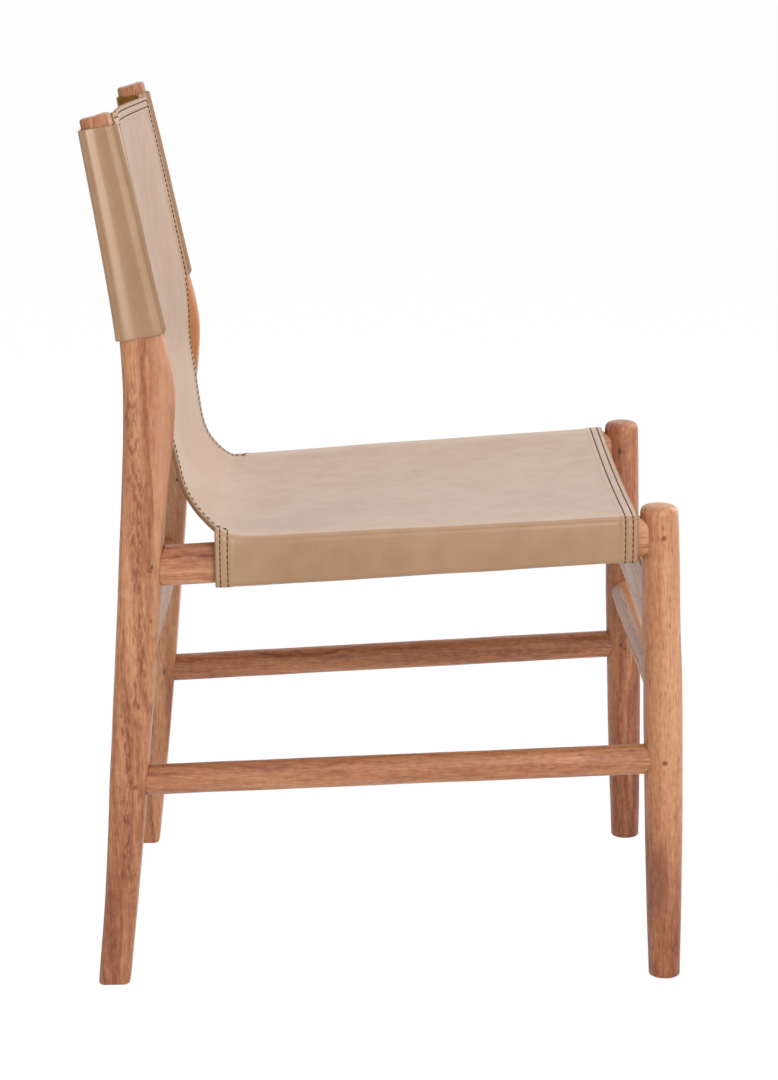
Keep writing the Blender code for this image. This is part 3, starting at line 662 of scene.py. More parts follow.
SMOOTH_FACE = HideFinish(
    HideFace.SMOOTH,
    ((0.15, written(152, 113, 81)), (0.42, written(168, 128, 95)), (0.60, written(175, 136, 102)),
     (0.9, written(186, 149, 116))), (0.36, 0.30), 0.05, 0.5)
SUEDE_BACK = HideFinish(
    HideFace.SUEDE,
    ((0.15, written(100, 64, 28)), (0.5, written(136, 92, 44)), (0.85, written(162, 116, 62))),
    (0.95, 0.85), 0.5, 0.1, 0.06)
CUT_EDGE = HideFinish(
    HideFace.CUT,
    ((0.2, written(118, 84, 54)), (0.5, written(146, 108, 72)), (0.8, written(168, 130, 92))),
    (0.8, 0.65), 0.4, 0.3)


# Pieces

def settle(bm: Mesh, name: str, materials: Sequence[Material],
           nodes: Sequence[str] = (), crease: float = CREASE_ANGLE) -> Piece:
    """Make a finished piece of a mesh that is already in place.

    Args:
        bm: the mesh, which is freed.
        name: the piece's name.
        materials: the piece's materials, in the order of its face numbers.
        nodes: the CAD nodes that the piece stands for.
        crease: shading stays smooth over edges that turn less than this.

    Returns:
        The new object, riding on the chair.
    """
    data = bpy.data.meshes.new(name)
    bm.to_mesh(data)
    bm.free()
    for material in materials:
        data.materials.append(material)
    data.shade_smooth()
    data.set_sharp_from_angle(angle=crease)
    piece = shown(name, data)
    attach(piece, BODY)
    if nodes:
        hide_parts(*nodes)
    LOG.info("%s: %d faces", name, len(data.polygons))
    return piece


def shown(name: str, data: bpy.types.ID) -> Piece:
    """Make an object of its data and link it to the scene.

    Args:
        name: the object's name.
        data: its mesh, lamp or camera.

    Returns:
        The new object.
    """
    piece = bpy.data.objects.new(name, data)
    bpy.context.scene.collection.objects.link(piece)
    return piece


def waver(place: Vector, seed: float, size: float) -> Vector:
    """Small uneven shift of a point on hand-finished wood."""
    spot = place * WAVER_SCALE + Vector((seed, -seed, 0.0))
    return noise.noise_vector(spot) * size


def run(edge: bmesh.types.BMEdge, axis: int) -> float:
    """How far an edge runs along an axis."""
    return abs(edge.verts[0].co[axis] - edge.verts[1].co[axis])


def round_off(bm: Mesh, edges: Sequence[bmesh.types.BMEdge], width: float, segments: int) -> None:
    """Round edges with arcs."""
    bmesh.ops.bevel(bm, geom=edges, offset=width, affect="EDGES", segments=segments,
                    profile=0.5, material=-1, clamp_overlap=True)


def turned(profile: Sequence[Place], axis: Place, sides: int) -> Mesh:
    """Turn a profile a full circle round an axis through the origin.

    Args:
        profile: points from one end of the axis to the other.
        axis: the direction of the axis.
        sides: facets round the circle.

    Returns:
        The closed mesh.
    """
    bm = bmesh.new()
    verts = [bm.verts.new(point) for point in profile]
    edges = [bm.edges.new(pair) for pair in zip(verts, verts[1:])]
    bmesh.ops.spin(bm, geom=verts + edges, cent=ORIGIN, axis=axis, dvec=ORIGIN,
                   angle=2 * math.pi, steps=sides, use_merge=True, use_normal_flip=False,
                   use_duplicate=False)
    bmesh.ops.remove_doubles(bm, verts=bm.verts, dist=MERGE_DISTANCE)
    return bm


# Wood

@dataclass(frozen=True)
class ChairPlan:
    """Sizes that the pieces of wood share."""

    leg_spacing: float = 0.433
    chair_depth: float = 0.5595
    post_height: float = 0.829
    post_thickness: float = 0.032
    post_depth: float = 0.0476
    post_sweep: float = 0.038
    post_top_drop: float = 0.0058
    post_round: float = 0.007
    post_shape: tuple[Place, ...] = (
        (0.0, 0.0, 0.621), (0.12, 0.24, 0.669), (0.24, 0.41, 0.750), (0.36, 0.59, 0.803),
        (0.45, 0.72, 0.841), (0.52, 0.82, 0.846), (0.59, 0.92, 0.889), (0.64, 0.97, 0.972),
        (0.69, 1.0, 1.0), (0.725, 0.985, 0.929), (0.76, 0.93, 0.827), (0.845, 0.67, 0.725),
        (0.92, 0.41, 0.660), (1.0, 0.12, 0.577),
    )
    leg_height: float = 0.4645
    leg_diameter: float = 0.037
    leg_lean: float = 0.0080
    leg_dome: float = 0.0092
    leg_stations: int = 9
    right_leg_drop: float = 0.0020
    right_leg_bend: Table = ((0.0, 0.0), (0.28, 0.0), (0.36, 0.0011), (0.42, 0.0014),
                             (0.4645, 0.0028))
    leg_shape: Table = ((0.0, 0.81), (0.13, 0.885), (0.27, 0.95), (0.43, 0.985), (0.56, 1.0),
                        (0.75, 0.975), (1.0, 0.965))
    rail_width: float = 0.028
    rail_height: float = 0.0365
    rail_round: float = 0.0090
    rail_rear_top: float = 0.4264
    rail_front_top: float = 0.4520
    stretcher_rear: float = 0.1978
    stretcher_front: float = 0.2166

    def post_back(self, height: float) -> float:
        """Y of the post's back edge at a height."""
        sweep = smooth([(h, s) for h, s, _ in self.post_shape], height / self.post_height)
        return self.chair_depth / 2 - self.post_sweep * sweep

    def post_front(self, height: float) -> float:
        """Y of the post's front edge at a height."""
        deep = smooth([(h, d) for h, _, d in self.post_shape], height / self.post_height)
        return self.post_back(height) - self.post_depth * deep

    def leg_radius(self, height: float) -> float:
        """Radius of the turned leg at a height."""
        return self.leg_diameter / 2 * smooth(self.leg_shape, height / self.leg_height)

    def leg_middle(self, height: float, x: float) -> float:
        """Y of the middle of the leg on the side of an x; the right one bends back a little."""
        bend = smooth(self.right_leg_bend, height) if x < 0 else 0.0
        return self.leg_axis(height) + bend

    def leg_axis(self, height: float) -> float:
        """Y of the front leg's axis at a height.

        Args:
            height: above the floor.

        Returns:
            The Y.
        """
        lean = self.leg_lean / self.leg_height
        heights = [self.leg_height * step / self.leg_stations for step in range(self.leg_stations)]
        reach = max(self.leg_radius(h) - lean * h for h in heights)
        return -self.chair_depth / 2 + reach + lean * height

    def rail_line(self) -> tuple[tuple[float, float], tuple[float, float]]:
        """Rear and front ends of a seat rail's centre line, as (y, z).

        Returns:
            The rear end and the front end.
        """
        rear = self.rail_rear_top - self.rail_height / 2
        front = self.rail_front_top - self.rail_height / 2
        return (self.post_front(rear), rear), (self.leg_axis(front), front)

    def rail_top(self, y: float) -> float:
        """Height of a seat rail's top face at a place along it."""
        (rear_y, _), (front_y, _) = self.rail_line()
        return blend(self.rail_rear_top, self.rail_front_top, (y - rear_y) / (front_y - rear_y))

    def in_post(self, place: Vector) -> bool:
        """Whether a point is inside the nearer rear post.

        Args:
            place: the point.

        Returns:
            True inside it.
        """
        across = abs(abs(place.x) - self.leg_spacing / 2)
        flat = self.post_thickness / 2 - self.post_round
        if across > self.post_thickness / 2:
            return False
        turn = max(0.0, across - flat)
        inset = self.post_round - math.sqrt(self.post_round ** 2 - turn ** 2)
        front, back = self.post_front(place.z), self.post_back(place.z)
        return front + inset <= place.y <= back - inset

    def in_leg(self, place: Vector) -> bool:
        """Whether a point is inside the nearer front leg.

        Args:
            place: the point.

        Returns:
            True inside it.
        """
        across = abs(place.x) - self.leg_spacing / 2
        along = place.y - self.leg_middle(place.z, place.x)
        return math.hypot(across, along) <= self.leg_radius(place.z)


@dataclass
class RearPost:
    """A shaped plank from the floor to the top of the back."""

    plan: ChairPlan
    side: Side
    finish: TeakFinish
    stations: int = 90
    face_cuts: int = 3
    wide_edge: float = 0.012
    end_round: float = 0.0020
    uneven: float = 0.0004
    uneven_seed: float = 3.1

    def straight_blank(self) -> Mesh:
        """The plank before shaping, with its arrises rounded.

        Returns:
            A mesh that stands on the origin, with its depth along Y.
        """
        plan, bm = self.plan, bmesh.new()
        size = (plan.post_thickness, plan.post_depth, plan.post_height, 1.0)
        bmesh.ops.create_cube(bm, size=1.0, matrix=Matrix.Diagonal(size))
        bmesh.ops.translate(bm, vec=(0.0, 0.0, plan.post_height / 2), verts=bm.verts)
        round_off(bm, [e for e in bm.edges if run(e, 2) > 0.1], plan.post_round, 6)
        round_off(bm, [e for e in bm.edges if run(e, 2) < 0.001], self.end_round, 3)
        upright = [e for e in bm.edges if run(e, 2) > 0.1]
        bmesh.ops.subdivide_edges(bm, edges=upright, cuts=self.stations, use_grid_fill=True)
        wide = [e for e in bm.edges if run(e, 2) < 0.0001 and e.calc_length() > self.wide_edge]
        bmesh.ops.subdivide_edges(bm, edges=wide, cuts=self.face_cuts, use_grid_fill=True)
        return bm

    def shaped(self, place: Vector) -> Vector:
        """Where a point of the straight blank goes on the shaped post.

        Args:
            place: the point on the blank.

        Returns:
            Its place on the chair.
        """
        plan = self.plan
        half = plan.post_depth / 2
        back_share = (place.y + half) / plan.post_depth
        height = place.z * (1.0 - plan.post_top_drop / plan.post_height * back_share)
        front, back = plan.post_front(height), plan.post_back(height)
        flat = half - plan.post_round
        rim = max(0.0, abs(place.y) - flat)
        middle, reach = (front + back) / 2, (back - front) / 2 - plan.post_round
        y = middle + math.copysign(reach * min(1.0, abs(place.y) / flat) + rim, place.y)
        moved = Vector((self.side.value * plan.leg_spacing / 2 + place.x, y, height))
        return moved + waver(moved, self.uneven_seed * self.side.value, self.uneven)

    def build(self) -> Piece:
        """Shape the plank and dress it.

        Returns:
            The new object.
        """
        bm = self.straight_blank()
        for vert in bm.verts:
            vert.co = self.shaped(vert.co)
        bmesh.ops.recalc_face_normals(bm, faces=bm.faces)
        node = "rear_post_" + self.side.label
        return settle(bm, node + "_plank", [self.finish.material()], [node])


@dataclass
class FrontLeg:
    """A turned leg with a domed top that stands above the seat."""

    plan: ChairPlan
    side: Side
    finish: TeakFinish
    sides: int = 56
    stations: int = 60
    foot_steps: int = 4
    foot_round: float = 0.0024
    dome_steps: int = 10
    dome_shoulder: float = 0.37
    uneven: float = 0.0003
    uneven_seed: float = 7.7
    even_foot: float = 0.01

    def profile(self) -> list[Place]:
        """Outline in the XZ plane, from the middle of the foot up to that of the dome.

        Returns:
            Its points.
        """
        plan, ease_in = self.plan, self.foot_round
        rim_height = plan.leg_height - plan.leg_dome
        foot, rim = plan.leg_radius(0.0), plan.leg_radius(rim_height)
        points = [ORIGIN, (foot * 0.5, 0.0, 0.0)]
        for step in range(self.foot_steps + 1):
            turn = math.pi / 2 * step / self.foot_steps
            points.append((foot - ease_in * (1.0 - math.sin(turn)), 0.0,
                           ease_in * (1.0 - math.cos(turn))))
        for step in range(1, self.stations + 1):
            height = blend(ease_in, rim_height, step / self.stations)
            points.append((plan.leg_radius(height), 0.0, height))
        for step in range(1, self.dome_steps + 1):
            turn = math.pi / 2 * step / self.dome_steps
            points.append((rim * math.cos(turn) ** self.dome_shoulder, 0.0,
                           rim_height + plan.leg_dome * math.sin(turn)))
        return points

    def build(self) -> Piece:
        """Turn the leg, lean it and dress it.

        Returns:
            The new object.
        """
        plan, side = self.plan, self.side.value
        bm = turned(self.profile(), (0.0, 0.0, 1.0), self.sides)
        drop = plan.right_leg_drop if self.side is Side.RIGHT else 0.0
        for vert in bm.verts:
            vert.co.z *= 1.0 - drop / plan.leg_height
            place = Vector((side * plan.leg_spacing / 2 + vert.co.x,
                            plan.leg_middle(vert.co.z, side) + vert.co.y, vert.co.z))
            level = ease(vert.co.z / self.even_foot)
            vert.co = place + waver(place, self.uneven_seed * side, self.uneven * level)
        bmesh.ops.recalc_face_normals(bm, faces=bm.faces)
        node = "front_leg_" + self.side.label
        return settle(bm, node + "_turned", [self.finish.material()], [node])


@dataclass
class Bar:
    """A bar or board between two pieces, with its ends cut to the shapes that they meet."""

    node: str
    finish: TeakFinish
    start: Vector
    end: Vector
    width: float
    height: float
    meets: tuple[Callable[[Vector], bool], Callable[[Vector], bool]]
    arris: float = 0.0
    rings: int = 40
    bite: float = 0.0004
    shoulder: float = 0.0012
    shoulder_steps: int = 5
    halvings: int = 24
    uneven: float = 0.00035
    even_ends: float = 0.04

    def blank(self) -> Mesh:
        """The bar with its own section and a length of 1 along Y.

        Returns:
            The mesh.
        """
        bm, size = bmesh.new(), Matrix.Diagonal((self.width, 1.0, self.height, 1.0))
        if self.arris > 0.0:
            bmesh.ops.create_cube(bm, size=1.0, matrix=size)
            round_off(bm, [e for e in bm.edges if run(e, 1) > 0.5], self.arris, 7)
        else:
            bmesh.ops.create_cone(bm, cap_ends=True, segments=40, radius1=0.5, radius2=0.5,
                                  depth=1.0, matrix=size @ Matrix.Rotation(math.pi / 2, 4, "X"))
        long_edges = [e for e in bm.edges if run(e, 1) > 0.5]
        bmesh.ops.subdivide_edges(bm, edges=long_edges, cuts=self.rings, use_grid_fill=True)
        return bm

    def eased(self, index: int, length: float) -> tuple[float, float]:
        """Distance of a ring from its end of the bar, and the size of its section there.

        Args:
            index: the ring's number, counted from that end.
            length: from that end to the bar's middle.

        Returns:
            The distance, and the size as a share of the full one.
        """
        if index <= self.shoulder_steps:
            from_end = self.shoulder * index / self.shoulder_steps
            inset = self.shoulder - math.sqrt(self.shoulder ** 2 - (self.shoulder - from_end) ** 2)
            return from_end, 1.0 - 2 * inset / min(self.width, self.height)
        share = (index - self.shoulder_steps) / ((self.rings + 1) / 2 - self.shoulder_steps)
        return blend(self.shoulder, length, share), 1.0

    def reach(self, start: Vector, way: Vector, meets: Callable[[Vector], bool]) -> float:
        """How far a fibre of the bar runs from its middle before it meets a neighbour.

        Args:
            start: the fibre's middle.
            way: the way that it runs.
            meets: tells whether a point is inside the neighbour.

        Returns:
            The length, with a small bite into the neighbour.
        """
        near, far = 0.0, (self.end - self.start).length / 2
        for _ in range(self.halvings):
            middle = (near + far) / 2
            if meets(start + way * middle):
                far = middle
            else:
                near = middle
        return far + self.bite

    def build(self) -> Piece:
        """Cut the bar to length, cope its ends and dress it.

        Returns:
            The new object.
        """
        centre = (self.start + self.end) / 2
        way = (self.end - self.start).normalized()
        across = way.cross(Vector((0.0, 0.0, 1.0))).normalized()
        upward = across.cross(way)
        bm = self.blank()
        reaches: dict[tuple[int, int], tuple[float, float]] = {}
        for vert in bm.verts:
            key = round(vert.co.x * FIBRES_PER_METRE), round(vert.co.z * FIBRES_PER_METRE)
            offset = across * vert.co.x + upward * vert.co.z
            if key not in reaches:
                reaches[key] = (self.reach(centre + offset, -way, self.meets[0]),
                                self.reach(centre + offset, way, self.meets[1]))
            back, ahead = reaches[key]
            index = round((vert.co.y + 0.5) * (self.rings + 1))
            reach = ahead if index > self.rings / 2 else -back
            from_end, slim = self.eased(min(index, self.rings + 1 - index), abs(reach))
            place = centre + offset * slim + way * (reach * (1.0 - from_end / abs(reach)))
            fade = ease(from_end / self.even_ends)
            vert.co = place + waver(place, len(self.node), self.uneven * fade)
        bmesh.ops.recalc_face_normals(bm, faces=bm.faces)
        return settle(bm, self.node + "_bar", [self.finish.material()], [self.node])


@dataclass
class Peg:
    """A round peg across a joint, trimmed nearly flush."""

    node: str
    material: Material
    radius: float = 0.0026
    proud: float = 0.00025
    rim: float = 0.0004
    sides: int = 24

    def build(self) -> Piece:
        """Turn the peg in the place of its CAD node.

        Returns:
            The new object.
        """
        low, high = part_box(self.node)
        half = (high.x - low.x) / 2
        ends = ((0.0, half + self.proud), (0.6, half + self.proud * 0.8),
                (0.92, half + self.proud * 0.2), (1.0, half - self.rim))
        profile = [(-along, self.radius * share, 0.0) for share, along in ends]
        profile += [(along, self.radius * share, 0.0) for share, along in reversed(ends)]
        bm = turned(profile, (1.0, 0.0, 0.0), self.sides)
        bmesh.ops.translate(bm, vec=(low + high) / 2, verts=bm.verts)
        bmesh.ops.recalc_face_normals(bm, faces=bm.faces)
        return settle(bm, self.node + "_pin", [self.material], [self.node])


@dataclass
class TimberFrame:
    """The eleven pieces of teak and the pegs that pin their joints."""

    plan: ChairPlan
    stretcher_size: tuple[float, float] = (0.026, 0.029)
    front_stretcher_size: tuple[float, float] = (0.027, 0.028)
    front_stretcher_height: float = 0.2790
    front_apron_size: tuple[float, float] = (0.018, 0.054)
    rear_apron_size: tuple[float, float] = (0.018, 0.0495)
    front_apron_bottom: float = 0.337
    rear_apron_bottom: float = 0.2935
    apron_arris: float = 0.003
    rear_apron_setback: float = 0.0084
    front_apron_setback: float = 0.006
    rail_shoulder: float = 0.0026
    rail_tenon: float = 0.018
    stretcher_tenon: float = 0.014
    rail_shifts: tuple[tuple[float, float], ...] = ((0.0006, 0.0), (-0.0022, 0.0014))
    stretcher_shifts: tuple[tuple[float, float], ...] = ((0.0026, 0.0), (-0.0014, 0.0022))

    def post_finishes(self) -> list[TeakFinish]:
        """Each rear post's own wood, the right one first.

        Returns:
            The two finishes.
        """
        dark, pale = written(120, 58, 36), written(208, 152, 116)
        right = (
            WoodPatch(0.2335, 0.0080, 0.245, 0.600, written(124, 64, 38), 0.68, 1.0),
            WoodPatch(0.2440, 0.0060, 0.165, 0.290, dark, 0.80, 0.9),
            WoodPatch(0.2520, 0.0055, 0.085, 0.205, dark, 0.80, 0.8),
            WoodPatch(0.2640, 0.0055, 0.0, 0.125, written(120, 60, 36), 0.65, 0.7),
            WoodPatch(0.2125, 0.0060, 0.33, 0.47, written(206, 154, 114), 0.45),
            WoodPatch(0.2030, 0.0100, 0.44, 0.65, pale, 0.6),
        )
        right_knots = (((-0.2325, 0.2185, 0.411), 0.0013), ((-0.2325, 0.2205, 0.3594), 0.0009))
        left = (WoodPatch(0.2030, 0.0150, 0.49, 0.66, written(188, 118, 58), 0.85),)
        left_knots = (((0.2005, 0.2398, 0.1952), 0.0016),)
        return [
            # Painted shade: the right post's last two values darken its top and its foot.
            TeakFinish("teak_right_post", Grain.UPRIGHT, (0.262, -0.135, 0.0), 0.0060, 0.26, 0.26,
                       0.8, 0.03, right_knots, right, -0.13, -0.20),
            # Painted light: the left post's raised lightness lifts wood that lies in shade; its top
            # value is painted shade at its top.
            TeakFinish("teak_left_post", Grain.UPRIGHT, (-0.150, -0.19, 0.4), 0.0060, 0.22, 0.24,
                       0.6, 0.28, left_knots, left, -0.42),
        ]

    def leg_finishes(self) -> list[TeakFinish]:
        """Each front leg's own wood, the right one first.

        Returns:
            The two finishes.
        """
        right = (WoodPatch(-0.2560, 0.0100, 0.045, 0.150, written(126, 70, 48), 0.75, 0.35),)
        right_knots = (((-0.2347, -0.2521, 0.4336), 0.0011), ((-0.2344, -0.2560, 0.4431), 0.0009))
        left_knots = (((0.1985, -0.2530, 0.4345), 0.0026), ((0.1985, -0.2566, 0.2208), 0.0016))
        return [
            TeakFinish("teak_right_leg", Grain.UPRIGHT, (0.274, 0.335, 0.7), 0.0070, 0.16, 0.18,
                       0.5, 0.03, right_knots, right),
            # Painted shade: the left leg's lowered lightness stands for the seat's shade over it,
            # with a weaker painted foot shade.
            TeakFinish("teak_left_leg", Grain.UPRIGHT, (-0.160, 0.31, 1.3), 0.0060, 0.22, 0.24,
                       0.6, -0.12, left_knots, foot_shade=-0.12),
        ]

    def uprights(self) -> list[Piece]:
        """The posts and the front legs.

        Returns:
            Their objects.
        """
        made = [RearPost(self.plan, *pair).build() for pair in zip(Side, self.post_finishes())]
        made += [FrontLeg(self.plan, *pair).build() for pair in zip(Side, self.leg_finishes())]
        return made

    def side_bar(self, node: str, finish: TeakFinish, side: Side, ends: Table,
                 tenon: float, size: Sequence[float], **shape: float) -> Piece:
        """A bar from a rear post to a front leg.

        Args:
            node: the CAD node that it stands for.
            finish: its wood.
            side: the side of the chair.
            ends: (y, z) of its rear and front ends on the frame.
            tenon: how far its line starts inside the post.
            size: its width and height.
            shape: other sizes of the bar.

        Returns:
            The new object.
        """
        x = side.value * self.plan.leg_spacing / 2
        rear, front = (Vector((x, *end)) for end in ends)
        start = rear - (front - rear).normalized() * tenon
        return Bar(node, finish, start, front, *size, (self.plan.in_post, self.plan.in_leg),
                   **shape).build()

    def side_bars(self) -> list[Piece]:
        """The seat rails and the side stretchers.

        Returns:
            Their objects.
        """
        plan, made = self.plan, []
        for side in Side:
            x = side.value * plan.leg_spacing / 2
            (rear_y, rear_z), (front_y, front_z) = plan.rail_line()
            rear_shift, front_shift = self.rail_shifts[side.index]
            finish = TeakFinish("teak_%s_rail" % side.label, Grain.FORE_AND_AFT,
                                (-x + 0.06, 0.35 * side.value, -0.52), 0.0050, 0.40, 0.34, 0.6,
                                (0.08, 0.04)[side.index])
            ends = (rear_y, rear_z + rear_shift), (front_y, front_z + front_shift)
            made.append(self.side_bar(
                "seat_rail_" + side.label, finish, side, ends, self.rail_tenon,
                (plan.rail_width, plan.rail_height), arris=plan.rail_round,
                shoulder=self.rail_shoulder))
            rear_shift, front_shift = self.stretcher_shifts[side.index]
            rear, front = plan.stretcher_rear + rear_shift, plan.stretcher_front + front_shift
            finish = TeakFinish("teak_%s_stretcher" % side.label, Grain.FORE_AND_AFT,
                                (-x - 0.07, 0.2, -0.30), 0.0055, 0.20, 0.24, 0.5,
                                (-0.01, -0.08)[side.index])
            ends = (plan.post_front(rear), rear), (plan.leg_axis(front), front)
            made.append(self.side_bar("side_stretcher_" + side.label, finish, side, ends,
                                      self.stretcher_tenon, self.stretcher_size))
        return made

    def cross_pieces(self) -> list[Piece]:
        """The front stretcher and the two aprons.

        Returns:
            Their objects.
        """
        plan, made = self.plan, []
        half = plan.leg_spacing / 2
        front = self.front_apron_bottom + self.front_apron_size[1] / 2
        front_y = plan.leg_axis(front) + self.front_apron_setback
        rear = self.rear_apron_bottom + self.rear_apron_size[1] / 2
        rear_y = plan.post_front(rear) + self.rear_apron_setback + self.rear_apron_size[0] / 2
        high = self.front_stretcher_height
        rows = (
            ("front_stretcher", plan.leg_axis(high), high, self.front_stretcher_size, 0.0,
             plan.in_leg, (0.4, 0.33, 0.22)),
            ("front_apron", front_y, front, self.front_apron_size, self.apron_arris, plan.in_leg,
             (0.31, 0.35, 0.8)),
            ("rear_apron", rear_y, rear, self.rear_apron_size, self.apron_arris, plan.in_post,
             (0.44, -0.14, 0.4)),
        )
        for node, y, z, size, arris, meets, pith in rows:
            finish = TeakFinish("teak_" + node, Grain.ACROSS, pith, 0.0055, 0.20, 0.24, 0.5, 0.08)
            made.append(Bar(node, finish, Vector((-half, y, z)), Vector((half, y, z)), *size,
                            (meets, meets), arris).build())
        return made

    def build(self) -> list[Piece]:
        """Make the whole frame.

        Returns:
            Its pieces.
        """
        made = self.uprights() + self.side_bars() + self.cross_pieces()
        material = PEG_END.material()
        nodes = sorted(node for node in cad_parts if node.startswith("peg_"))
        return made + [Peg(node, material).build() for node in nodes]


# Hide

@dataclass(frozen=True)
class HideRow:
    """One line across the hide."""

    y: float
    right: float
    left: float
    half: float
    spread: float
    sag: float

    def top(self, side: Side) -> float:
        """Height of the line's end on one side."""
        return self.right if side is Side.RIGHT else self.left

    def inward(self, share: float) -> float:
        """Way in from the line's nearer end."""
        return (1.0 - abs(share)) * self.half


@dataclass(eq=False)
class HangingHide:
    """The sheet of leather: back panel, bend, seat, and flaps round the seat rails."""

    plan: ChairPlan
    thickness: float = 0.0042
    thin_share: float = 0.57
    skin: float = 0.0048
    turn: float = 0.0068
    top_skin: float = 0.0028
    seat_run: float = 0.39
    rear_lifts: tuple[float, float] = (0.0055, -0.0022)
    front_lifts: tuple[float, float] = (0.0008, 0.0020)
    corner_rises: tuple[float, float] = (0.0100, 0.0)
    corner_run: float = 0.030
    top_heights: tuple[float, float] = (0.8280, 0.8165)
    sleeve_top: float = 0.8185
    sleeve_bottom: float = 0.6285
    back_lines: int = 5
    low_lines: int = 2
    panel_inset: float = 0.0065
    panel_setbacks: Table = ((0.530, 0.0018), (0.57201, 0.0095), (0.6285, 0.0018),
                             (0.8185, -0.0009))
    bend_top: float = 0.530
    bend_reach: float = 0.0369
    front_gap: float = 0.0222
    low_round: float = 0.0070
    flap_bulge: float = 0.0011
    roll: float = 0.0034
    roll_place: float = 0.013
    roll_width: float = 0.0066
    roll_fade: float = 0.10
    far_roll: float = 0.15
    near_back: float = 0.0030
    near_back_end: float = 0.35
    near_back_run: float = 0.07
    # Painted reflection at the bend and painted highlight over the rails' arrises: their strength,
    # place and spread.
    bend_rub: float = 0.75
    bend_rub_way: float = 0.31
    bend_rub_run: float = 0.08
    arris_rub: float = 0.40
    arris_rub_run: float = 0.016
    arris_rub_out: float = 4.0
    front_skew: float = 0.0011
    front_skew_run: float = 0.2
    under_skins: tuple[float, float] = (0.0026, 0.0042)
    wrap_return: float = 0.0235
    bend_shares: tuple[Place, ...] = (
        (0.0, 1.0, 1.0), (0.065, 0.82, 0.80), (0.125, 0.64, 0.62), (0.19, 0.48, 0.46),
        (0.30, 0.35, 0.32), (0.46, 0.235, 0.20), (0.66, 0.135, 0.095), (0.84, 0.06, 0.03),
        (1.0, 0.0, 0.0),
    )
    spread_shares: Table = ((0.0, 0.0), (0.15, 0.0), (0.65, 0.7), (1.0, 1.0))
    seat_shares: tuple[float, ...] = (0.035, 0.085, 0.25, 0.43, 0.61, 0.80, 1.0)
    seat_sags: Table = ((0.0, 0.0130), (0.35, 0.0085), (0.7, 0.0085), (1.0, 0.0040))
    back_sags: tuple[float, float] = (0.0100, 0.0185)
    bend_sag: float = 0.0130
    hung_share: float = 0.885
    far_belly: float = 0.7
    hem_rows: tuple[float, float] = (0.0050, 0.0120)
    hem_width: float = 0.0155
    hem_rise: float = 0.0006
    hem_fade: float = 0.0025
    edge_depth: float = 0.0009
    edge_run: float = 0.0016
    row_depth: float = 0.00045
    row_width: float = 0.0012
    fold_margin: float = 0.001
    fold_run: float = 0.002
    uneven: float = 0.0009
    uneven_from: float = 0.03
    uneven_scale: Place = (11.0, 15.0, 15.0)
    fine_width: float = 0.0190
    fine_steps: int = 14
    usual_half: float = 0.2
    back_pitch: float = 0.0052
    seat_pitch: float = 0.0062
    foot_margin: float = 0.004
    columns: int = 64
    flap_columns: int = 40
    probe: float = 0.0015
    wide_probe: float = 0.004

    def panel_y(self, height: float) -> float:
        """Y of the panel's edges at a height, a little behind the posts' front edges."""
        return self.plan.post_front(height) + smooth(self.panel_setbacks, height)

    @property
    def turn_middle(self) -> float:
        """Way across from a rail's middle to that of the turn over its outer arris."""
        return self.plan.rail_width / 2 + self.skin - self.turn

    def foot_y(self) -> float:
        """Y of the hide's rear edge on the seat rails."""
        return self.plan.post_front(self.bend_top) - self.bend_reach

    def forward(self, y: float) -> float:
        """Share of the way from the seat's rear to its front."""
        return min(1.0, max(0.0, (self.foot_y() - y) / self.seat_run))

    def seat_surface(self, y: float, side: Side) -> float:
        """Height of the hide's upper face over the rail of one side.

        Args:
            y: the place along the rail.
            side: the side of the chair.

        Returns:
            The height.
        """
        near_corner = max(0.0, 1.0 - (self.foot_y() - y) / self.corner_run)
        lift = blend(self.rear_lifts[side.index], self.front_lifts[side.index], self.forward(y))
        lift += self.corner_rises[side.index] * near_corner ** 2
        return self.plan.rail_top(y) + lift + self.top_skin

    def back_rows(self, back_half: float) -> list[HideRow]:
        """The lines of the back panel, down to the bend.

        Args:
            back_half: half of the panel's width.

        Returns:
            The lines, from the top down.
        """
        found = []
        for step in range(self.back_lines + 1):
            share = step / self.back_lines
            sag = blend(*self.back_sags, math.sin(share * math.pi / 2))
            height = blend(self.sleeve_top, self.sleeve_bottom, share)
            rise = max(0.0, 1.0 - 2 * share)
            levels = [height + (top - self.sleeve_top) * rise for top in self.top_heights]
            found.append(HideRow(self.panel_y(height), *levels, back_half, 0.0, sag))
        for height in evenly(self.sleeve_bottom, self.bend_top, self.low_lines + 1)[1:]:
            found.append(HideRow(self.panel_y(height), height, height, back_half, 0.0,
                                 self.back_sags[1]))
        return found

    @lru_cache
    def rows(self) -> tuple[HideRow, ...]:
        """The lines that the hide goes through, from its top to the seat's front.

        Returns:
            The lines.
        """
        plan = self.plan
        back_half = plan.leg_spacing / 2 - plan.post_thickness / 2 - self.panel_inset
        seat_half = plan.leg_spacing / 2 + self.turn_middle
        found = self.back_rows(back_half)
        bend_y, foot_y = self.panel_y(self.bend_top), self.foot_y()
        feet = [self.seat_surface(foot_y, side) for side in Side]
        for reach, *rises in self.bend_shares:
            spread = smooth(self.spread_shares, reach)
            half = blend(back_half, seat_half, spread)
            sag = blend(self.back_sags[1], self.bend_sag, min(1.0, reach / 0.5))
            ends = [blend(foot, self.bend_top, rise) for foot, rise in zip(feet, rises)]
            found.append(HideRow(blend(bend_y, foot_y, reach), *ends, half, spread, sag))
        front_y = plan.leg_axis(plan.rail_front_top) + self.front_gap
        for share in self.seat_shares:
            y = blend(foot_y, front_y, share)
            ends = [self.seat_surface(y, side) for side in Side]
            found.append(HideRow(y, *ends, seat_half, 1.0, smooth(self.seat_sags, share)))
        return tuple(found)

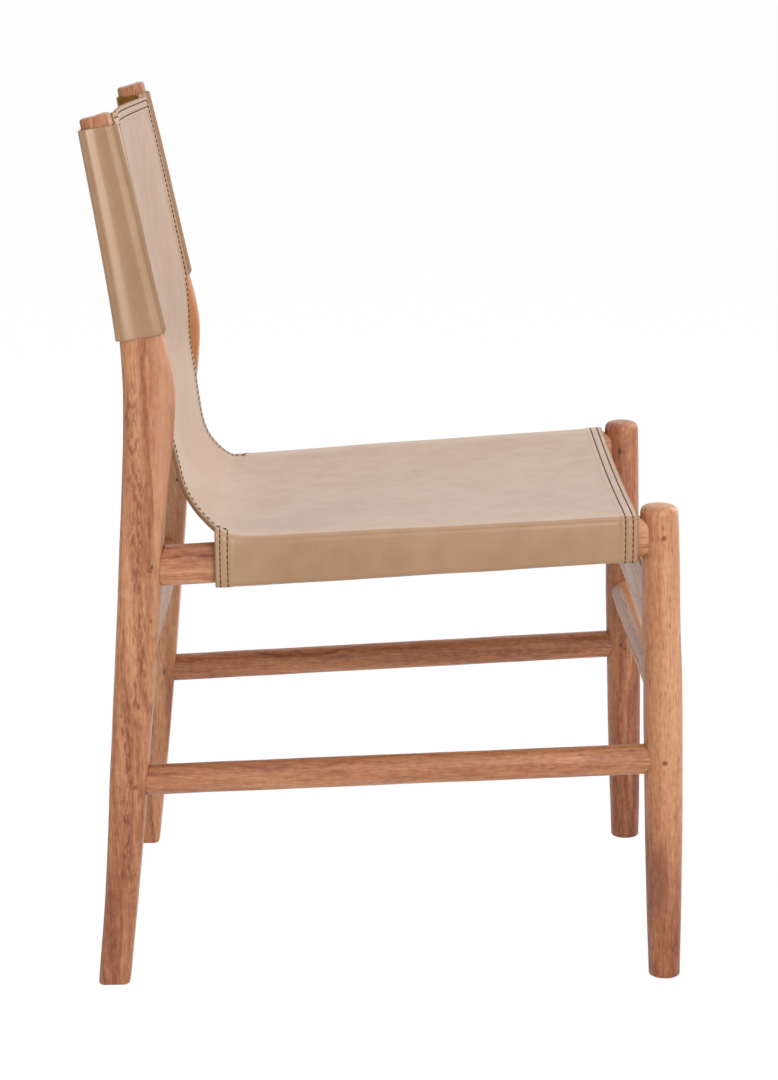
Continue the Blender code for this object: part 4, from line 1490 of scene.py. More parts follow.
    @lru_cache
    def marks(self) -> tuple[float, ...]:
        """Way down the hide at which each of its lines lies.

        Returns:
            One way for each line.
        """
        total, found = 0.0, [0.0]
        for before, after in zip(self.rows(), self.rows()[1:]):
            rise = (before.right + before.left - after.right - after.left) / 2
            total += math.hypot(after.y - before.y, rise)
            found.append(total)
        return tuple(found)

    @lru_cache
    def row_at(self, way: float) -> HideRow:
        """The line across the hide at any way down it.

        Args:
            way: the way down the hide.

        Returns:
            The line.
        """
        tables = [[(mark, getattr(row, item.name)) for mark, row in zip(self.marks(), self.rows())]
                  for item in fields(HideRow)]
        return HideRow(*(smooth(table, way) for table in tables))

    @property
    def length(self) -> float:
        """Way from the top hem's edge to the front hem's edge."""
        return self.marks()[-1]

    @property
    def foot(self) -> float:
        """Way down at which the flaps start."""
        return self.marks()[-1 - len(self.seat_shares)]

    @property
    def sleeve_end(self) -> float:
        """Way down at which the sleeves end."""
        return self.marks()[self.back_lines]

    @lru_cache
    def behind(self, way: float) -> Vector:
        """Direction square to the hide's middle line, to the back or down.

        Args:
            way: the way down the hide.

        Returns:
            The direction, of length 1.
        """
        before = self.row_at(max(0.0, way - self.wide_probe))
        after = self.row_at(min(self.length, way + self.wide_probe))
        rise = (after.right + after.left - before.right - before.left) / 2
        down = Vector((0.0, after.y - before.y, rise)).normalized()
        return Vector((0.0, -down.z, down.y))

    def skew(self, way: float, share: float) -> float:
        """How far the front hem lies out of square at a place across it."""
        return -share * self.front_skew * ease(1.0 - (self.length - way) / self.front_skew_run)

    def panel_point(self, way: float, share: float) -> Vector:
        """A point of the smooth face between the two free edges.

        Args:
            way: the way down the hide.
            share: of the half width, from -1 at the right edge to 1 at the left one.

        Returns:
            The point.
        """
        row = self.row_at(way)
        hung = blend(1.0, self.hung_share, row.spread)
        arch = max(0.0, 1.0 - (share / hung) ** 2)
        bell = ease(1.0 - abs(share) / hung)
        drop = blend(bell if share < 0.0 else blend(arch, bell, self.far_belly), arch, row.spread)
        roll = self.roll * hill(row.inward(share), self.roll_place, self.roll_width)
        roll *= ease((self.foot - way - self.roll_fade) / self.roll_fade)
        roll *= 1.0 if share < 0 else self.far_roll
        drop = row.sag * drop - roll
        behind_post = ease((self.near_back_end - way) / self.near_back_run)
        drop += self.near_back * max(0.0, -share) * behind_post
        place = Vector((row.half * share, row.y + self.skew(way, share),
                        blend(row.right, row.left, (share + 1) / 2)))
        return place + self.behind(way) * drop

    def flap_length(self, side: Side, way: float) -> float:
        """How far the flap runs from the panel's edge to its end under the rail."""
        turn, drop, tuck = self.flap_sizes(side, way)
        return turn + drop + tuck + self.wrap_return

    def underside(self, y: float) -> float:
        """Height of the flaps' smooth face under the rails."""
        under_skin = blend(*self.under_skins, self.forward(y))
        return self.plan.rail_top(y) - self.plan.rail_height - under_skin

    def flap_sizes(self, side: Side, way: float) -> Place:
        """Lengths of the flap's upper turn, its flat outer side and its lower turn.

        Args:
            side: the side of the chair.
            way: the way down the hide.

        Returns:
            The three lengths.
        """
        row = self.row_at(way)
        drop = row.top(side) - self.turn - self.underside(row.y) - self.low_round
        return self.turn * math.pi / 2, drop, self.low_round * math.pi / 2

    def flap_point(self, side: Side, way: float, out: float) -> Vector:
        """A point of the smooth face beyond the panel's edge, round the rail.

        Args:
            side: the side of the chair.
            way: the way down the hide.
            out: the way out from the panel's edge.

        Returns:
            The point.
        """
        row, full, low_round = self.row_at(way), self.turn, self.low_round
        turn, drop, tuck = self.flap_sizes(side, way)
        high = row.top(side) - full
        outer = self.turn_middle + full
        if out <= turn:
            angle = out / full
            across = self.turn_middle + full * math.sin(angle)
            z = high + full * math.cos(angle)
        elif out <= turn + drop:
            across = outer + self.flap_bulge * math.sin((out - turn) / drop * math.pi)
            z = high - (out - turn)
        elif out <= turn + drop + tuck:
            angle = (out - turn - drop) / low_round
            across = outer - low_round + low_round * math.cos(angle)
            z = high - drop - low_round * math.sin(angle)
        else:
            across = outer - low_round - (out - turn - drop - tuck)
            z = high - drop - low_round
        y = row.y + self.skew(way, side.value)
        return Vector((side.value * (self.plan.leg_spacing / 2 + across), y, z))

    def point(self, way: float, share: float, out: float = 0.0) -> Vector:
        """A point of the smooth face, on the panel or on a flap.

        Args:
            way: the way down the hide.
            share: of the half width, from -1 at the right edge to 1 at the left one.
            out: the way out from the panel's edge, or 0 on the panel.

        Returns:
            The point.
        """
        if out <= 0.0:
            return self.panel_point(way, share)
        return self.flap_point(Side.LEFT if share > 0 else Side.RIGHT, way, out)

    def facing(self, way: float, share: float, out: float = 0.0) -> Vector:
        """Direction in which the smooth face looks at a point.

        Args:
            way: the way down the hide.
            share: of the half width, from -1 at the right edge to 1 at the left one.
            out: the way out from the panel's edge, or 0 on the panel.

        Returns:
            The direction, of length 1.
        """
        step, wide = self.probe, self.wide_probe
        down = self.point(min(self.length, way + step), share, out)
        down = down - self.point(max(0.0, way - step), share, out)
        if out > 0.0 or abs(share) > 0.999 and way >= self.foot:
            aside = self.point(way, share, out + step)
            aside = aside - self.point(way, share, max(0.0, out - step))
            aside = aside * (1.0 if share > 0 else -1.0)
        else:
            aside = self.panel_point(way, share + wide) - self.panel_point(way, share - wide)
        return aside.cross(down).normalized() * -1.0

    def hem_distance(self, way: float, share: float, out: float) -> float:
        """Way in from the nearest free edge of the sheet.

        Args:
            way: the way down the hide.
            share: of the half width, from -1 at the right edge to 1 at the left one.
            out: the way out from the panel's edge, or 0 on the panel.

        Returns:
            The way in.
        """
        inward = self.row_at(way).inward(share)
        if out > 0.0:
            sideways = way - self.foot
        elif way >= self.foot:
            sideways = math.hypot(way - self.foot, inward)
        else:
            sideways = inward
        return max(0.0, min(way, self.length - way, sideways))

    def rubbed(self, way: float, share: float, out: float) -> float:
        """Share of the painted sheen: a painted reflection at the bend and a painted highlight over
        the rails' arrises.

        Args:
            way: the way down the hide.
            share: of the half width, from -1 at the right edge to 1 at the left one.
            out: the way out from the panel's edge, or 0 on the panel.

        Returns:
            The share.
        """
        bend = self.bend_rub * hill(way, self.bend_rub_way, self.bend_rub_run)
        if way < self.foot:
            return bend
        inward = self.row_at(way).inward(share) + self.arris_rub_out * out
        return max(bend, self.arris_rub * hill(inward, 0.0, self.arris_rub_run))

    def relief(self, way: float, share: float, out: float) -> float:
        """How far the smooth face stands out of its plain shape: folds, rows and wrinkles.

        Args:
            way: the way down the hide.
            share: of the half width, from -1 at the right edge to 1 at the left one.
            out: the way out from the panel's edge, or 0 on the panel.

        Returns:
            The height over the plain shape.
        """
        distance = self.hem_distance(way, share, out)
        rise = self.hem_rise * (1.0 - ease((distance - self.hem_width) / self.hem_fade))
        rise -= self.edge_depth * (1.0 - min(1.0, distance / self.edge_run)) ** 2
        for row in self.hem_rows:
            rise -= self.row_depth * hill(distance, row, self.row_width)
        spots = zip(self.point(way, share, out), self.uneven_scale)
        wrinkle = noise.noise(Vector([value * scale for value, scale in spots]))
        return rise + self.uneven * ease(distance / self.uneven_from) * wrinkle

    def ways(self) -> list[float]:
        """Ways down the hide at which its mesh has a line of points.

        Returns:
            The ways, from the top hem to the front hem.
        """
        fine, dense, foot, end = self.fine_width, self.fine_steps, self.foot, self.length
        near = foot - self.foot_margin
        spans = (
            (0.0, fine, dense),
            (fine, near, round((near - fine) / self.back_pitch)),
            (near, foot, 2),
            (foot, foot + fine, dense),
            (foot + fine, end - fine, round((end - foot - 2 * fine) / self.seat_pitch)),
            (end - fine, end, dense),
        )
        return [way for span in spans for way in evenly(*span)] + [end]

    def shares(self) -> list[float]:
        """Shares of the half width at which the panel has a column of points.

        Returns:
            The shares, from the right edge to the left one.
        """
        fine = 1.0 - self.fine_width / self.usual_half
        half = evenly(1.0, fine, self.fine_steps) + evenly(fine, 0.0, self.columns // 2)
        return [-share for share in half] + [0.0] + half[::-1]

    def lay_grid(self, bm: Mesh, ways: Sequence[float],
                 columns: Sequence[tuple[float, float]]) -> None:
        """Lay a grid of leather on the hide's smooth face.

        Args:
            bm: the mesh that gets the grid.
            ways: ways down the hide, one for each line of points.
            columns: each column's share of the half width and share of the flap.
        """
        for vert, column, line in grid_spots(bm, len(columns), len(ways)):
            way, (share, flap) = ways[line], columns[column]
            side = Side.LEFT if share > 0 else Side.RIGHT
            spot = way, share, flap * self.flap_length(side, way) if flap > 0 else 0.0
            place = self.point(*spot) + self.facing(*spot) * self.relief(*spot)
            put(bm, vert, place, self.hem_distance(*spot), self.rubbed(*spot))

    def sheet_mesh(self) -> Mesh:
        """The smooth face of the whole sheet, panel and flaps in one.

        Returns:
            The mesh, without thickness.
        """
        bm = marked_mesh()
        ways = self.ways()
        self.lay_grid(bm, ways, [(share, 0.0) for share in self.shares()])
        flap_ways = [way for way in ways if way >= self.foot]
        outs = evenly(0.0, 1.0, self.flap_columns) + [1.0]
        for side in Side:
            self.lay_grid(bm, flap_ways, [(float(side.value), out) for out in outs])
        bmesh.ops.remove_doubles(bm, verts=bm.verts, dist=MERGE_DISTANCE * 5)
        seat = min(bm.faces, key=lambda face: face.calc_center_median().length)
        face_outwards(bm, seat, (0.0, 0.0, 1.0))
        return bm

    def flat_size(self) -> tuple[tuple[float, float], float]:
        """Width and length of the flat cut, and its area.

        Returns:
            The two sizes, and the area.
        """
        flap = self.flap_length(Side.RIGHT, self.length - 0.05)
        width = 2 * self.row_at(self.length).half + 2 * flap
        back = 2 * self.row_at(0.1).half * self.foot
        return (width, self.length), back + width * (self.length - self.foot)

    def build(self, materials: Sequence[Material]) -> Piece:
        """Make the sheet with its thickness and finishes.

        Args:
            materials: smooth face, suede back and cut edge.

        Returns:
            The new object.
        """
        panel = thick_sheet(self.sheet_mesh(), "hide_panel", materials, self.thickness,
                            ["leather_sling"])
        group = panel.vertex_groups.new(name="folded_double")
        for index, item in enumerate(panel.data.attributes["hem"].data):
            fold = 1.0 - ease((item.value - self.hem_width + self.fold_margin) / self.fold_run)
            group.add([index], blend(self.thin_share, 1.0, fold), "REPLACE")
        panel.modifiers["wall"].vertex_group = group.name
        return panel


def marked_mesh() -> Mesh:
    """An empty mesh whose points carry the two marks that the leather's finish reads.

    Returns:
        The mesh.
    """
    bm = bmesh.new()
    for name in HIDE_MARKS:
        bm.verts.layers.float.new(name)
    return bm


def grid_spots(bm: Mesh, columns: int, lines: int) -> list[tuple[bmesh.types.BMVert, int, int]]:
    """Add a grid to a mesh.

    Args:
        bm: the mesh.
        columns: points across.
        lines: points down.

    Returns:
        Each point with its column and its line.
    """
    made = bmesh.ops.create_grid(bm, x_segments=columns - 1, y_segments=lines - 1, size=1.0)
    return [(vert, round((vert.co.x + 1) / 2 * (columns - 1)),
             round((vert.co.y + 1) / 2 * (lines - 1))) for vert in made["verts"]]


def put(bm: Mesh, vert: bmesh.types.BMVert, place: Vector, *marks: float) -> None:
    """Move a point of leather to its place and give it its marks.

    Args:
        bm: the mesh.
        vert: the point.
        place: where it goes.
        marks: its marks, in the order of HIDE_MARKS.
    """
    vert.co = place
    for name, mark in zip(HIDE_MARKS, marks):
        vert[bm.verts.layers.float[name]] = mark


def face_outwards(bm: Mesh, sample: bmesh.types.BMFace, way: Place) -> None:
    """Turn all of a sheet's faces so that one of them looks a given way.

    Args:
        bm: the sheet.
        sample: the face that is looked at.
        way: the way that it has to look.
    """
    bmesh.ops.recalc_face_normals(bm, faces=bm.faces)
    if sample.normal.dot(Vector(way)) < 0:
        bmesh.ops.reverse_faces(bm, faces=bm.faces)


def thick_sheet(bm: Mesh, name: str, materials: Sequence[Material], thickness: float,
                nodes: Sequence[str] = ()) -> Piece:
    """Give a leather face its thickness inwards, with a rounded cut edge.

    Args:
        bm: the smooth face, which is freed.
        name: the piece's name.
        materials: smooth face, suede back and cut edge.
        thickness: of the leather.
        nodes: the CAD nodes that the piece stands for.

    Returns:
        The new object.
    """
    piece = settle(bm, name, materials, nodes, SHEET_CREASE)
    wall = piece.modifiers.new("wall", "SOLIDIFY")
    wall.thickness = thickness
    wall.offset = -1.0
    wall.use_even_offset = True
    wall.use_rim = True
    wall.material_offset = 1
    wall.material_offset_rim = 0
    edge = piece.modifiers.new("rolled_edge", "BEVEL")
    edge.width = SHEET_EDGE_ROUND
    edge.segments = 2
    edge.limit_method = "ANGLE"
    edge.angle_limit = SHEET_EDGE_ANGLE
    return piece


@dataclass
class Sleeve:
    """Leather sewn round one rear post, from the panel's edge round to its back."""

    hide: HangingHide
    side: Side
    rows: int = 56
    rim_slope: float = 0.15
    skin: float = 0.0031
    front_fold: float = 0.0060
    back_fold: float = 0.0050
    back_tuck: float = 0.0078
    panel_end: tuple[Place, ...] = ((-0.0262, 0.0, 0.0052), (-0.0222, 0.0, 0.0038))
    corner_steps: int = 8
    flat_steps: int = 5
    side_steps: int = 20
    inner_steps: int = 10
    suede_columns: int = 15
    seam_mark: float = 0.0002
    plain_mark: float = 0.0035
    seam_start: float = 0.0010
    seam_run: float = 0.0022
    # Place, width and lower-end share of the painted highlight on the outer face.
    crest_share: float = 0.76
    crest_width: float = 0.13
    crest_low: float = 0.55
    pull: float = 0.0007
    pull_back: float = 0.4
    pull_scale: Place = (22.0, 22.0, 9.0)
    face_shape: Table = (
        (0.0, 0.0005), (0.08, 0.0012), (0.24, 0.0004), (0.40, -0.0005), (0.52, -0.0006),
        (0.64, -0.0003), (0.86, 0.0021), (0.94, 0.0017), (1.0, 0.0),
    )

    def corner(self, outwards: int, share: float, radius: float, turns: Sequence[int]
               ) -> list[Place]:
        """A round corner of the outline.

        Args:
            outwards: 1 for the post's outer side, -1 for its inner one.
            share: 0 for the post's front edge, 1 for its back edge.
            radius: of the corner.
            turns: the directions of its ends in degrees.

        Returns:
            Its places.
        """
        across = outwards * (self.hide.plan.post_thickness / 2 + self.skin - radius)
        shift = (radius - self.skin) * (1.0 - 2.0 * share)
        found = []
        for angle in (*evenly(*turns, self.corner_steps), turns[1]):
            angle = math.radians(angle)
            found.append((across + radius * math.cos(angle), share,
                          shift + radius * math.sin(angle)))
        return found

    def outline(self) -> list[Place]:
        """Places round the post, as (across, depth share, shift), from the panel outwards.

        Returns:
            The places.
        """
        plan, skin, front, back = self.hide.plan, self.skin, self.front_fold, self.back_fold
        inner, reach = plan.post_round + skin, plan.post_thickness / 2 + skin
        found = [*self.panel_end, *self.corner(-1, 0.0, inner, (200, 270))]
        flat = evenly(inner - reach, reach - front, self.flat_steps)[1:]
        found += [(across, 0.0, -skin) for across in flat]
        found += self.corner(1, 0.0, front, (270, 360))
        for share in evenly(0.0, 1.0, self.side_steps)[1:]:
            found.append((reach + smooth(self.face_shape, share), share,
                          blend(front - skin, skin - back, share)))
        found += self.corner(1, 1.0, back, (0, 90))
        flat = evenly(reach - back, inner - reach, self.flat_steps)[1:]
        found += [(across, 1.0, skin) for across in flat]
        found += self.corner(-1, 1.0, inner, (90, 180))
        for share in evenly(0.0, 1.0, self.inner_steps)[1:]:
            found.append((-reach, 1.0 - share, blend(-plan.post_round, self.back_tuck, share)))
        return found

    def hem_mark(self, spot: Place) -> float:
        """Value of the hem mark at a place of the outline: low in the front seam's crease, which
        paints shade there with the fold's darker colour.

        Args:
            spot: the place of the outline.

        Returns:
            The mark.
        """
        _, share, shift = spot
        if share > 0.0:
            return self.plain_mark
        out_of_crease = ease((shift + self.skin - self.seam_start) / self.seam_run)
        return blend(self.seam_mark, self.plain_mark, out_of_crease)

    def crest_mark(self, spot: Place, down: float) -> float:
        """Share of the painted highlight along the outer face's crest, which fades towards its lower
        end.

        Args:
            spot: the place of the outline.
            down: share of the way down the sleeve.

        Returns:
            The mark.
        """
        across, share, _ = spot
        if across < self.hide.plan.post_thickness / 2:
            return 0.0
        return hill(share, self.crest_share, self.crest_width) * blend(1.0, self.crest_low, down)

    def place(self, height: float, across: float, share: float, shift: float) -> Vector:
        """A place on the sleeve, on a line that falls to the back.

        Args:
            height: above the floor.
            across: the way out from the post's middle.
            share: of the way from the post's front edge to its back edge.
            shift: the further way back.

        Returns:
            The point.
        """
        plan = self.hide.plan
        y = blend(plan.post_front(height), plan.post_back(height), share) + shift
        level = height - self.rim_slope * (y - plan.post_front(height))
        y = blend(plan.post_front(level), plan.post_back(level), share) + shift
        place = Vector((self.side.value * (plan.leg_spacing / 2 + across), y, level))
        spot = Vector([value * scale for value, scale in zip(place, self.pull_scale)])
        pull = noise.noise(spot) * self.pull
        return place + Vector((self.side.value * pull, -abs(pull) * self.pull_back, 0.0))

    def build(self, materials: Sequence[Material]) -> Piece:
        """Make the sleeve.

        Args:
            materials: smooth face, suede back and cut edge.

        Returns:
            The new object.
        """
        hide, outline, bm = self.hide, self.outline(), marked_mesh()
        count = len(outline)
        spots = grid_spots(bm, count, self.rows + 1)
        for face in bm.faces:
            column = (face.calc_center_median().x + 1) / 2 * (count - 1)
            face.material_index = 1 if column > count - self.suede_columns else 0
        for vert, column, _ in spots:
            down, spot = (vert.co.y + 1) / 2, outline[column]
            place = self.place(blend(hide.sleeve_top, hide.sleeve_bottom, down), *spot)
            put(bm, vert, place, self.hem_mark(spot), self.crest_mark(spot, down))
        outer = max(bm.faces, key=lambda face: face.calc_center_median().x * self.side.value)
        face_outwards(bm, outer, (float(self.side.value), 0.0, 0.0))
        return thick_sheet(bm, "hide_sleeve_" + self.side.label,
                           [*materials, materials[1], materials[2]],
                           hide.thickness * hide.thin_share)


# Thread and tacks

@dataclass
class Stitching:
    """Rows of thread along the hems and seams of the hide."""

    hide: HangingHide
    material: Material
    pitch: float = 0.0056
    stitch: float = 0.0048
    radius: float = 0.00056
    edge_radius: float = 0.00082
    lift: float = 0.00012
    slack: float = 0.2
    panel_end: float = 0.985
    flap_start: float = 0.00001
    flap_end: float = 0.004
    corner_run: float = 0.02
    seam_rows: tuple[float, float] = (0.0014, 0.0036)
    seam_starts: tuple[float, float] = (0.02, 0.004)
    edge_starts: tuple[float, float] = (0.050, 0.0)

    def along(self, track: Callable[[float], Place], length: float, name: str,
              radius: float) -> Piece:
        """Sew one row.

        Args:
            track: the place on the hide at a share of the row.
            length: the row's length.
            name: the piece's name.
            radius: of the thread.

        Returns:
            The new object.
        """
        bm, hide = bmesh.new(), self.hide
        count = max(2, round(length / self.pitch))
        for number in range(count):
            spot = track((number + 0.5) / count)
            before = hide.point(*track((number + 0.5 - self.slack) / count))
            after = hide.point(*track((number + 0.5 + self.slack) / count))
            facing = hide.facing(*spot)
            place = hide.point(*spot) + facing * (hide.relief(*spot) + self.lift)
            way = (after - before).normalized()
            turn = Matrix((way, facing.cross(way).normalized(), facing)).transposed().to_4x4()
            size = Matrix.Diagonal((self.stitch / 2, radius, radius, 1.0))
            bmesh.ops.create_icosphere(bm, subdivisions=1, radius=1.0,
                                       matrix=Matrix.Translation(place) @ turn @ size)
        bmesh.ops.recalc_face_normals(bm, faces=bm.faces)
        return settle(bm, name, [self.material])

    def hem_across(self, way: float, name: str) -> list[Piece]:
        """A row across the panel, and on round both flaps where it is the front hem.

        Args:
            way: the way down the hide.
            name: the piece's name.

        Returns:
            The rows of thread.
        """
        end = self.panel_end
        made = [self.along(lambda t: (way, blend(-end, end, t), 0.0),
                           2 * self.hide.row_at(way).half, name, self.radius)]
        return made + (self.flap_rows(way, name) if way > self.hide.foot else [])

    def flap_rows(self, way: float, name: str) -> list[Piece]:
        """A row down each flap.

        Args:
            way: the way down the hide.
            name: the start of the pieces' names.

        Returns:
            The rows of thread.
        """
        made, hide = [], self.hide
        inset = max(0.0, way - hide.foot) if way < hide.foot + self.corner_run else 0.0
        half = hide.row_at(way).half
        for side in Side:
            total = inset + hide.flap_length(side, way) - self.flap_end

            def track(share: float, side: Side = side, total: float = total) -> Place:
                """Place on the hide at a share of the row.

                Args:
                    share: of the row.
                    side: the flap's side.
                    total: the row's length.

                Returns:
                    The way down, the share of the half width and the way out.
                """
                out = total * share - inset
                if out < 0.0:
                    return way, side.value * (1.0 + out / half), 0.0
                return way, float(side.value), max(out, self.flap_start)

            made.append(self.along(track, total, "%s_%s_flap" % (name, side.label), self.radius))
        return made

    def free_edge(self, side: Side, inset: float, name: str) -> Piece:
        """A row down the panel's free edge, from the sleeve to the flap.

        Args:
            side: the side of the chair.
            inset: the way in from the edge.
            name: the piece's name.

        Returns:
            The row of thread.
        """
        start = self.hide.sleeve_end + self.edge_starts[side.index]
        end = self.hide.foot + inset

        def track(share: float) -> Place:
            """Place on the hide at a share of the row."""
            way = blend(start, end, share)
            return way, side.value * (1.0 - inset / self.hide.row_at(way).half), 0.0

        return self.along(track, end - start, name, self.edge_radius)

    def seam(self, side: Side) -> Piece:
        """The row that holds a sleeve to the panel.

        Args:
            side: the side of the chair.

        Returns:
            The row of thread.
        """
        end, start = self.hide.sleeve_end, self.seam_starts[side.index]
        share = side.value * (1.0 - self.seam_rows[side.index] / self.hide.row_at(0.1).half)
        return self.along(lambda t: (blend(start, end, t), share, 0.0), end,
                          "stitches_%s_seam" % side.label, self.edge_radius)

    def build(self) -> list[Piece]:
        """Sew every row.

        Returns:
            The rows of thread.
        """
        hide, made = self.hide, []
        for number, inset in enumerate(hide.hem_rows, 1):
            made += self.hem_across(inset, "stitches_top_hem_%d" % number)
            made += self.hem_across(hide.length - inset, "stitches_front_hem_%d" % number)
            made += self.flap_rows(hide.foot + inset, "stitches_rear_%d" % number)
            made += [self.free_edge(side, inset, "stitches_%s_edge_%d" % (side.label, number))
                     for side in Side]
        return made + [self.seam(side) for side in Side]


@dataclass
class Tack:
    """A tack with a low domed head, driven up through a flap into the rail."""

    node: str
    hide: HangingHide
    material: Material
    dome: float = 0.0011
    dome_steps: int = 6
    shank: float = 0.0009
    point: float = 0.0030
    sink: float = 0.0003
    sides: int = 28

    def profile(self, head: float, length: float) -> list[Place]:
        """Half outline from the tip down to the middle of the head.

        Args:
            head: the head's radius.
            length: the shank's length.

        Returns:
            Points beside the Z axis, with the head's flat side at height 0.
        """
        points = [(0.0, 0.0, length), (self.shank, 0.0, length - self.point),
                  (self.shank, 0.0, 0.0), (head, 0.0, 0.0)]
        for step in range(1, self.dome_steps + 1):
            turn = math.pi / 2 * step / self.dome_steps
            points.append((head * math.cos(turn), 0.0, -self.dome * math.sin(turn)))
        return points

    def build(self) -> Piece:
        """Turn the tack and drive it where its CAD node is.

        Returns:
            The new object.
        """
        low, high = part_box(self.node)
        centre = (low + high) / 2
        seat = self.hide.underside(centre.y) + self.sink
        bm = turned(self.profile((high.x - low.x) / 2, high.z - seat), (0.0, 0.0, 1.0), self.sides)
        (rear_y, rear_z), (front_y, front_z) = self.hide.plan.rail_line()
        climb = math.atan2(front_z - rear_z, rear_y - front_y)
        bmesh.ops.rotate(bm, cent=ORIGIN, matrix=Matrix.Rotation(-climb, 3, "X"), verts=bm.verts)
        bmesh.ops.translate(bm, vec=(centre.x, centre.y, seat), verts=bm.verts)
        bmesh.ops.recalc_face_normals(bm, faces=bm.faces)
        return settle(bm, self.node + "_nail", [self.material], [self.node])


@dataclass
class LeatherSling:
    """The hide with its sleeves, stitching and tacks."""

    plan: ChairPlan

    def build(self) -> list[Piece]:
        """Returns:
            Its pieces.
        """
        materials = [finish.material() for finish in (SMOOTH_FACE, SUEDE_BACK, CUT_EDGE)]
        hide = HangingHide(self.plan)
        panel = hide.build(materials)
        sleeves = [Sleeve(hide, side).build(materials) for side in Side]
        rows = Stitching(hide, WAXED_THREAD.material()).build()
        flat, area = hide.flat_size()
        metal = TACK_METAL.material()
        nodes = sorted(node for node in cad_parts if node.startswith("tack_"))
        tacks = [Tack(node, hide, metal).build() for node in nodes]
        LOG.info("flat cut %.3f x %.3f, area %.3f", *flat, area)
        return [panel, *sleeves, *rows, *tacks]


# Studio

@dataclass(frozen=True)
class SoftBox:
    """One soft lamp, aimed at the middle of the chair."""

    name: str
    place: Place
    size: tuple[float, float]
    power: float
    aim: Place = (0.0, 0.0, 0.42)

    def build(self) -> None:
        """Hang the lamp and aim it."""
        data = bpy.data.lights.new(self.name, "AREA")
        data.shape = "RECTANGLE"
        data.size, data.size_y = self.size
        data.energy = self.power
        lamp = shown(self.name, data)
        lamp.location = self.place
        way = Vector(self.aim) - Vector(self.place)
        lamp.rotation_euler = way.to_track_quat("-Z", "Y").to_euler()


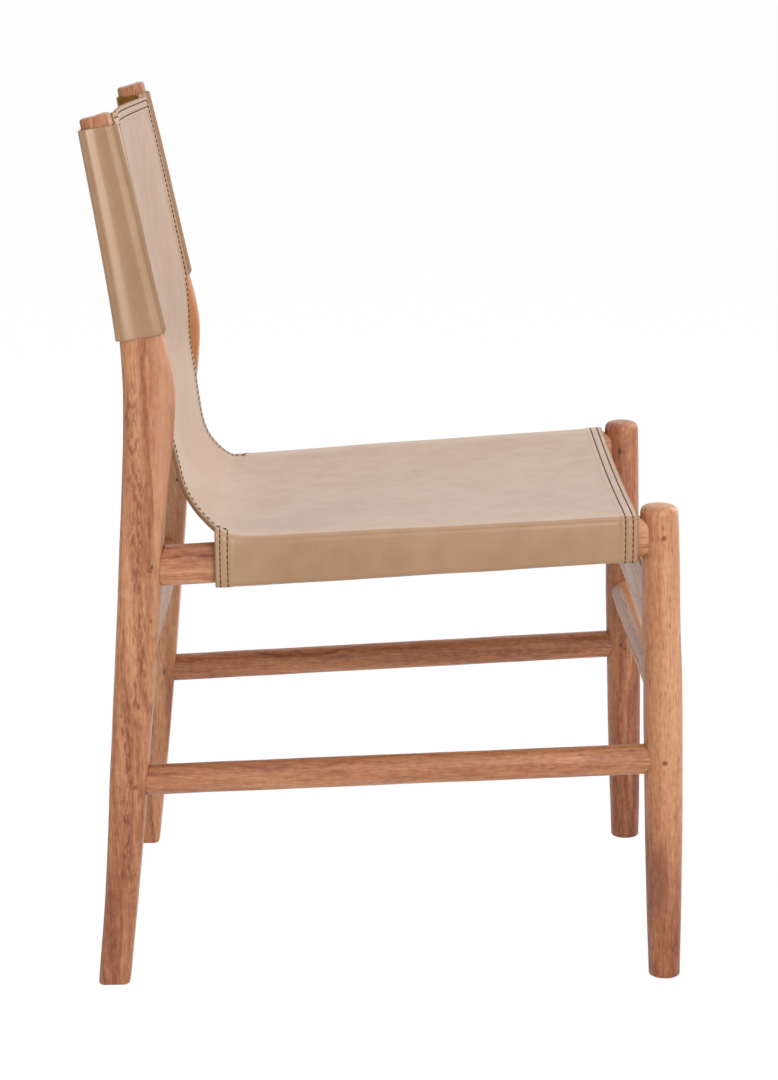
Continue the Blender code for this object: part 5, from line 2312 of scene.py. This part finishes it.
@dataclass(frozen=True)
class Studio:
    """White surroundings, soft lamps and the photograph's camera."""

    camera_place: Place = (-2.9260, 0.0216, 1.0248)
    yaw: float = math.radians(-0.5)
    pitch: float = math.radians(12.362)
    roll: float = math.radians(-0.45)
    lens: float = 99.10
    surround: float = 0.42
    floor_size: float = 60.0
    floor_white: float = 0.95
    floor_glow: float = 1.02
    floor_stops: Stops = ((0.0, (0.86, 0.86, 0.86, 1.0)), (1.0, (0.89, 0.89, 0.89, 1.0)))
    lamps: tuple[SoftBox, ...] = (
        SoftBox("key_box", (-2.9, -1.0, 1.6), (2.0, 2.0), 52.0),
        SoftBox("fill_box", (-2.2, 2.2, 1.3), (1.2, 1.2), 2.0),
        SoftBox("front_box", (1.2, -2.3, 1.7), (1.6, 1.6), 34.0),
        SoftBox("far_box", (2.4, -0.1, 1.6), (1.8, 1.4), 4.0),
        SoftBox("top_box", (0.0, 0.0, 2.9), (1.8, 1.8), 13.0),
    )

    def camera(self) -> None:
        """Place the camera at the photograph's viewing angle."""
        forward = Vector((math.cos(self.pitch) * math.cos(self.yaw),
                          math.cos(self.pitch) * math.sin(self.yaw), -math.sin(self.pitch)))
        right = Vector((math.sin(self.yaw), -math.cos(self.yaw), 0.0))
        upward = right.cross(forward)
        turned_right = right * math.cos(self.roll) + upward * math.sin(self.roll)
        turned_up = upward * math.cos(self.roll) - right * math.sin(self.roll)
        turn = Matrix((turned_right, turned_up, -forward)).transposed().to_4x4()
        data = bpy.data.cameras.new("camera")
        data.lens = self.lens
        data.sensor_width = 36.0
        data.sensor_fit = "AUTO"
        data.clip_end = 100.0
        camera = shown("camera", data)
        camera.matrix_world = Matrix.Translation(self.camera_place) @ turn
        bpy.context.scene.camera = camera

    def world(self) -> None:
        """White to the camera and in reflections, softer as light."""
        world = bpy.data.worlds.new("surround")
        world.use_nodes = True
        bpy.context.scene.world = world
        sketch = Sketch(world.node_tree)
        rays = sketch.add("LightPath").outputs
        seen = sketch.sum("MAXIMUM", rays["Is Camera Ray"], rays["Is Transmission Ray"])
        seen = sketch.sum("MAXIMUM", seen, rays["Is Glossy Ray"])
        sketch.feed(world.node_tree.nodes["Background"], {
            "Color": (1.0, 1.0, 1.0, 1.0),
            "Strength": sketch.sum("MULTIPLY_ADD", seen, 1.0 - self.surround, self.surround),
        })

    def floor_material(self) -> Material:
        """White paper that stays white to the camera and in reflections.

        Returns:
            The new material.
        """
        material, sketch, shader, place = new_material("floor_white")
        sketch.feed(shader, {
            "Base Color": sketch.ramp(sketch.cloud(place, 3.0), self.floor_stops),
            "Roughness": 0.9,
            "Specular IOR Level": 0.0,
        })
        feeds = {"Color": (1.0, 1.0, 1.0, 1.0), "Strength": self.floor_glow}
        glow = sketch.add("Emission", feeds).outputs[0]
        rays = sketch.add("LightPath").outputs
        seen = sketch.sum("MAXIMUM", rays["Is Camera Ray"], rays["Is Glossy Ray"])
        feeds = {0: sketch.times(seen, self.floor_white), 1: shader.outputs[0], 2: glow}
        mix = sketch.add("MixShader", feeds).outputs[0]
        sketch.feed(material.node_tree.nodes["Material Output"], {"Surface": mix})
        return material

    def floor(self) -> None:
        """A white floor that keeps soft shadows."""
        bm = bmesh.new()
        bmesh.ops.create_grid(bm, x_segments=1, y_segments=1, size=self.floor_size)
        data = bpy.data.meshes.new("studio_floor")
        bm.to_mesh(data)
        bm.free()
        data.materials.append(self.floor_material())
        floor = shown("studio_floor", data)

    def build(self) -> None:
        """Set up the whole studio."""
        self.camera()
        self.world()
        self.floor()
        for lamp in self.lamps:
            lamp.build()
        bpy.context.scene.view_settings.view_transform = "Standard"


def main() -> None:
    """Build the studio and the chair."""
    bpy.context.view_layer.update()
    noise.seed_set(NOISE_SEED)
    Studio().build()
    plan = ChairPlan()
    pieces = TimberFrame(plan).build()
    pieces += LeatherSling(plan).build()
    LOG.info("%d pieces", len(pieces))


if __name__ == "__main__":
    logging.basicConfig(level=logging.INFO, format="%(name)s: %(message)s")
    main()
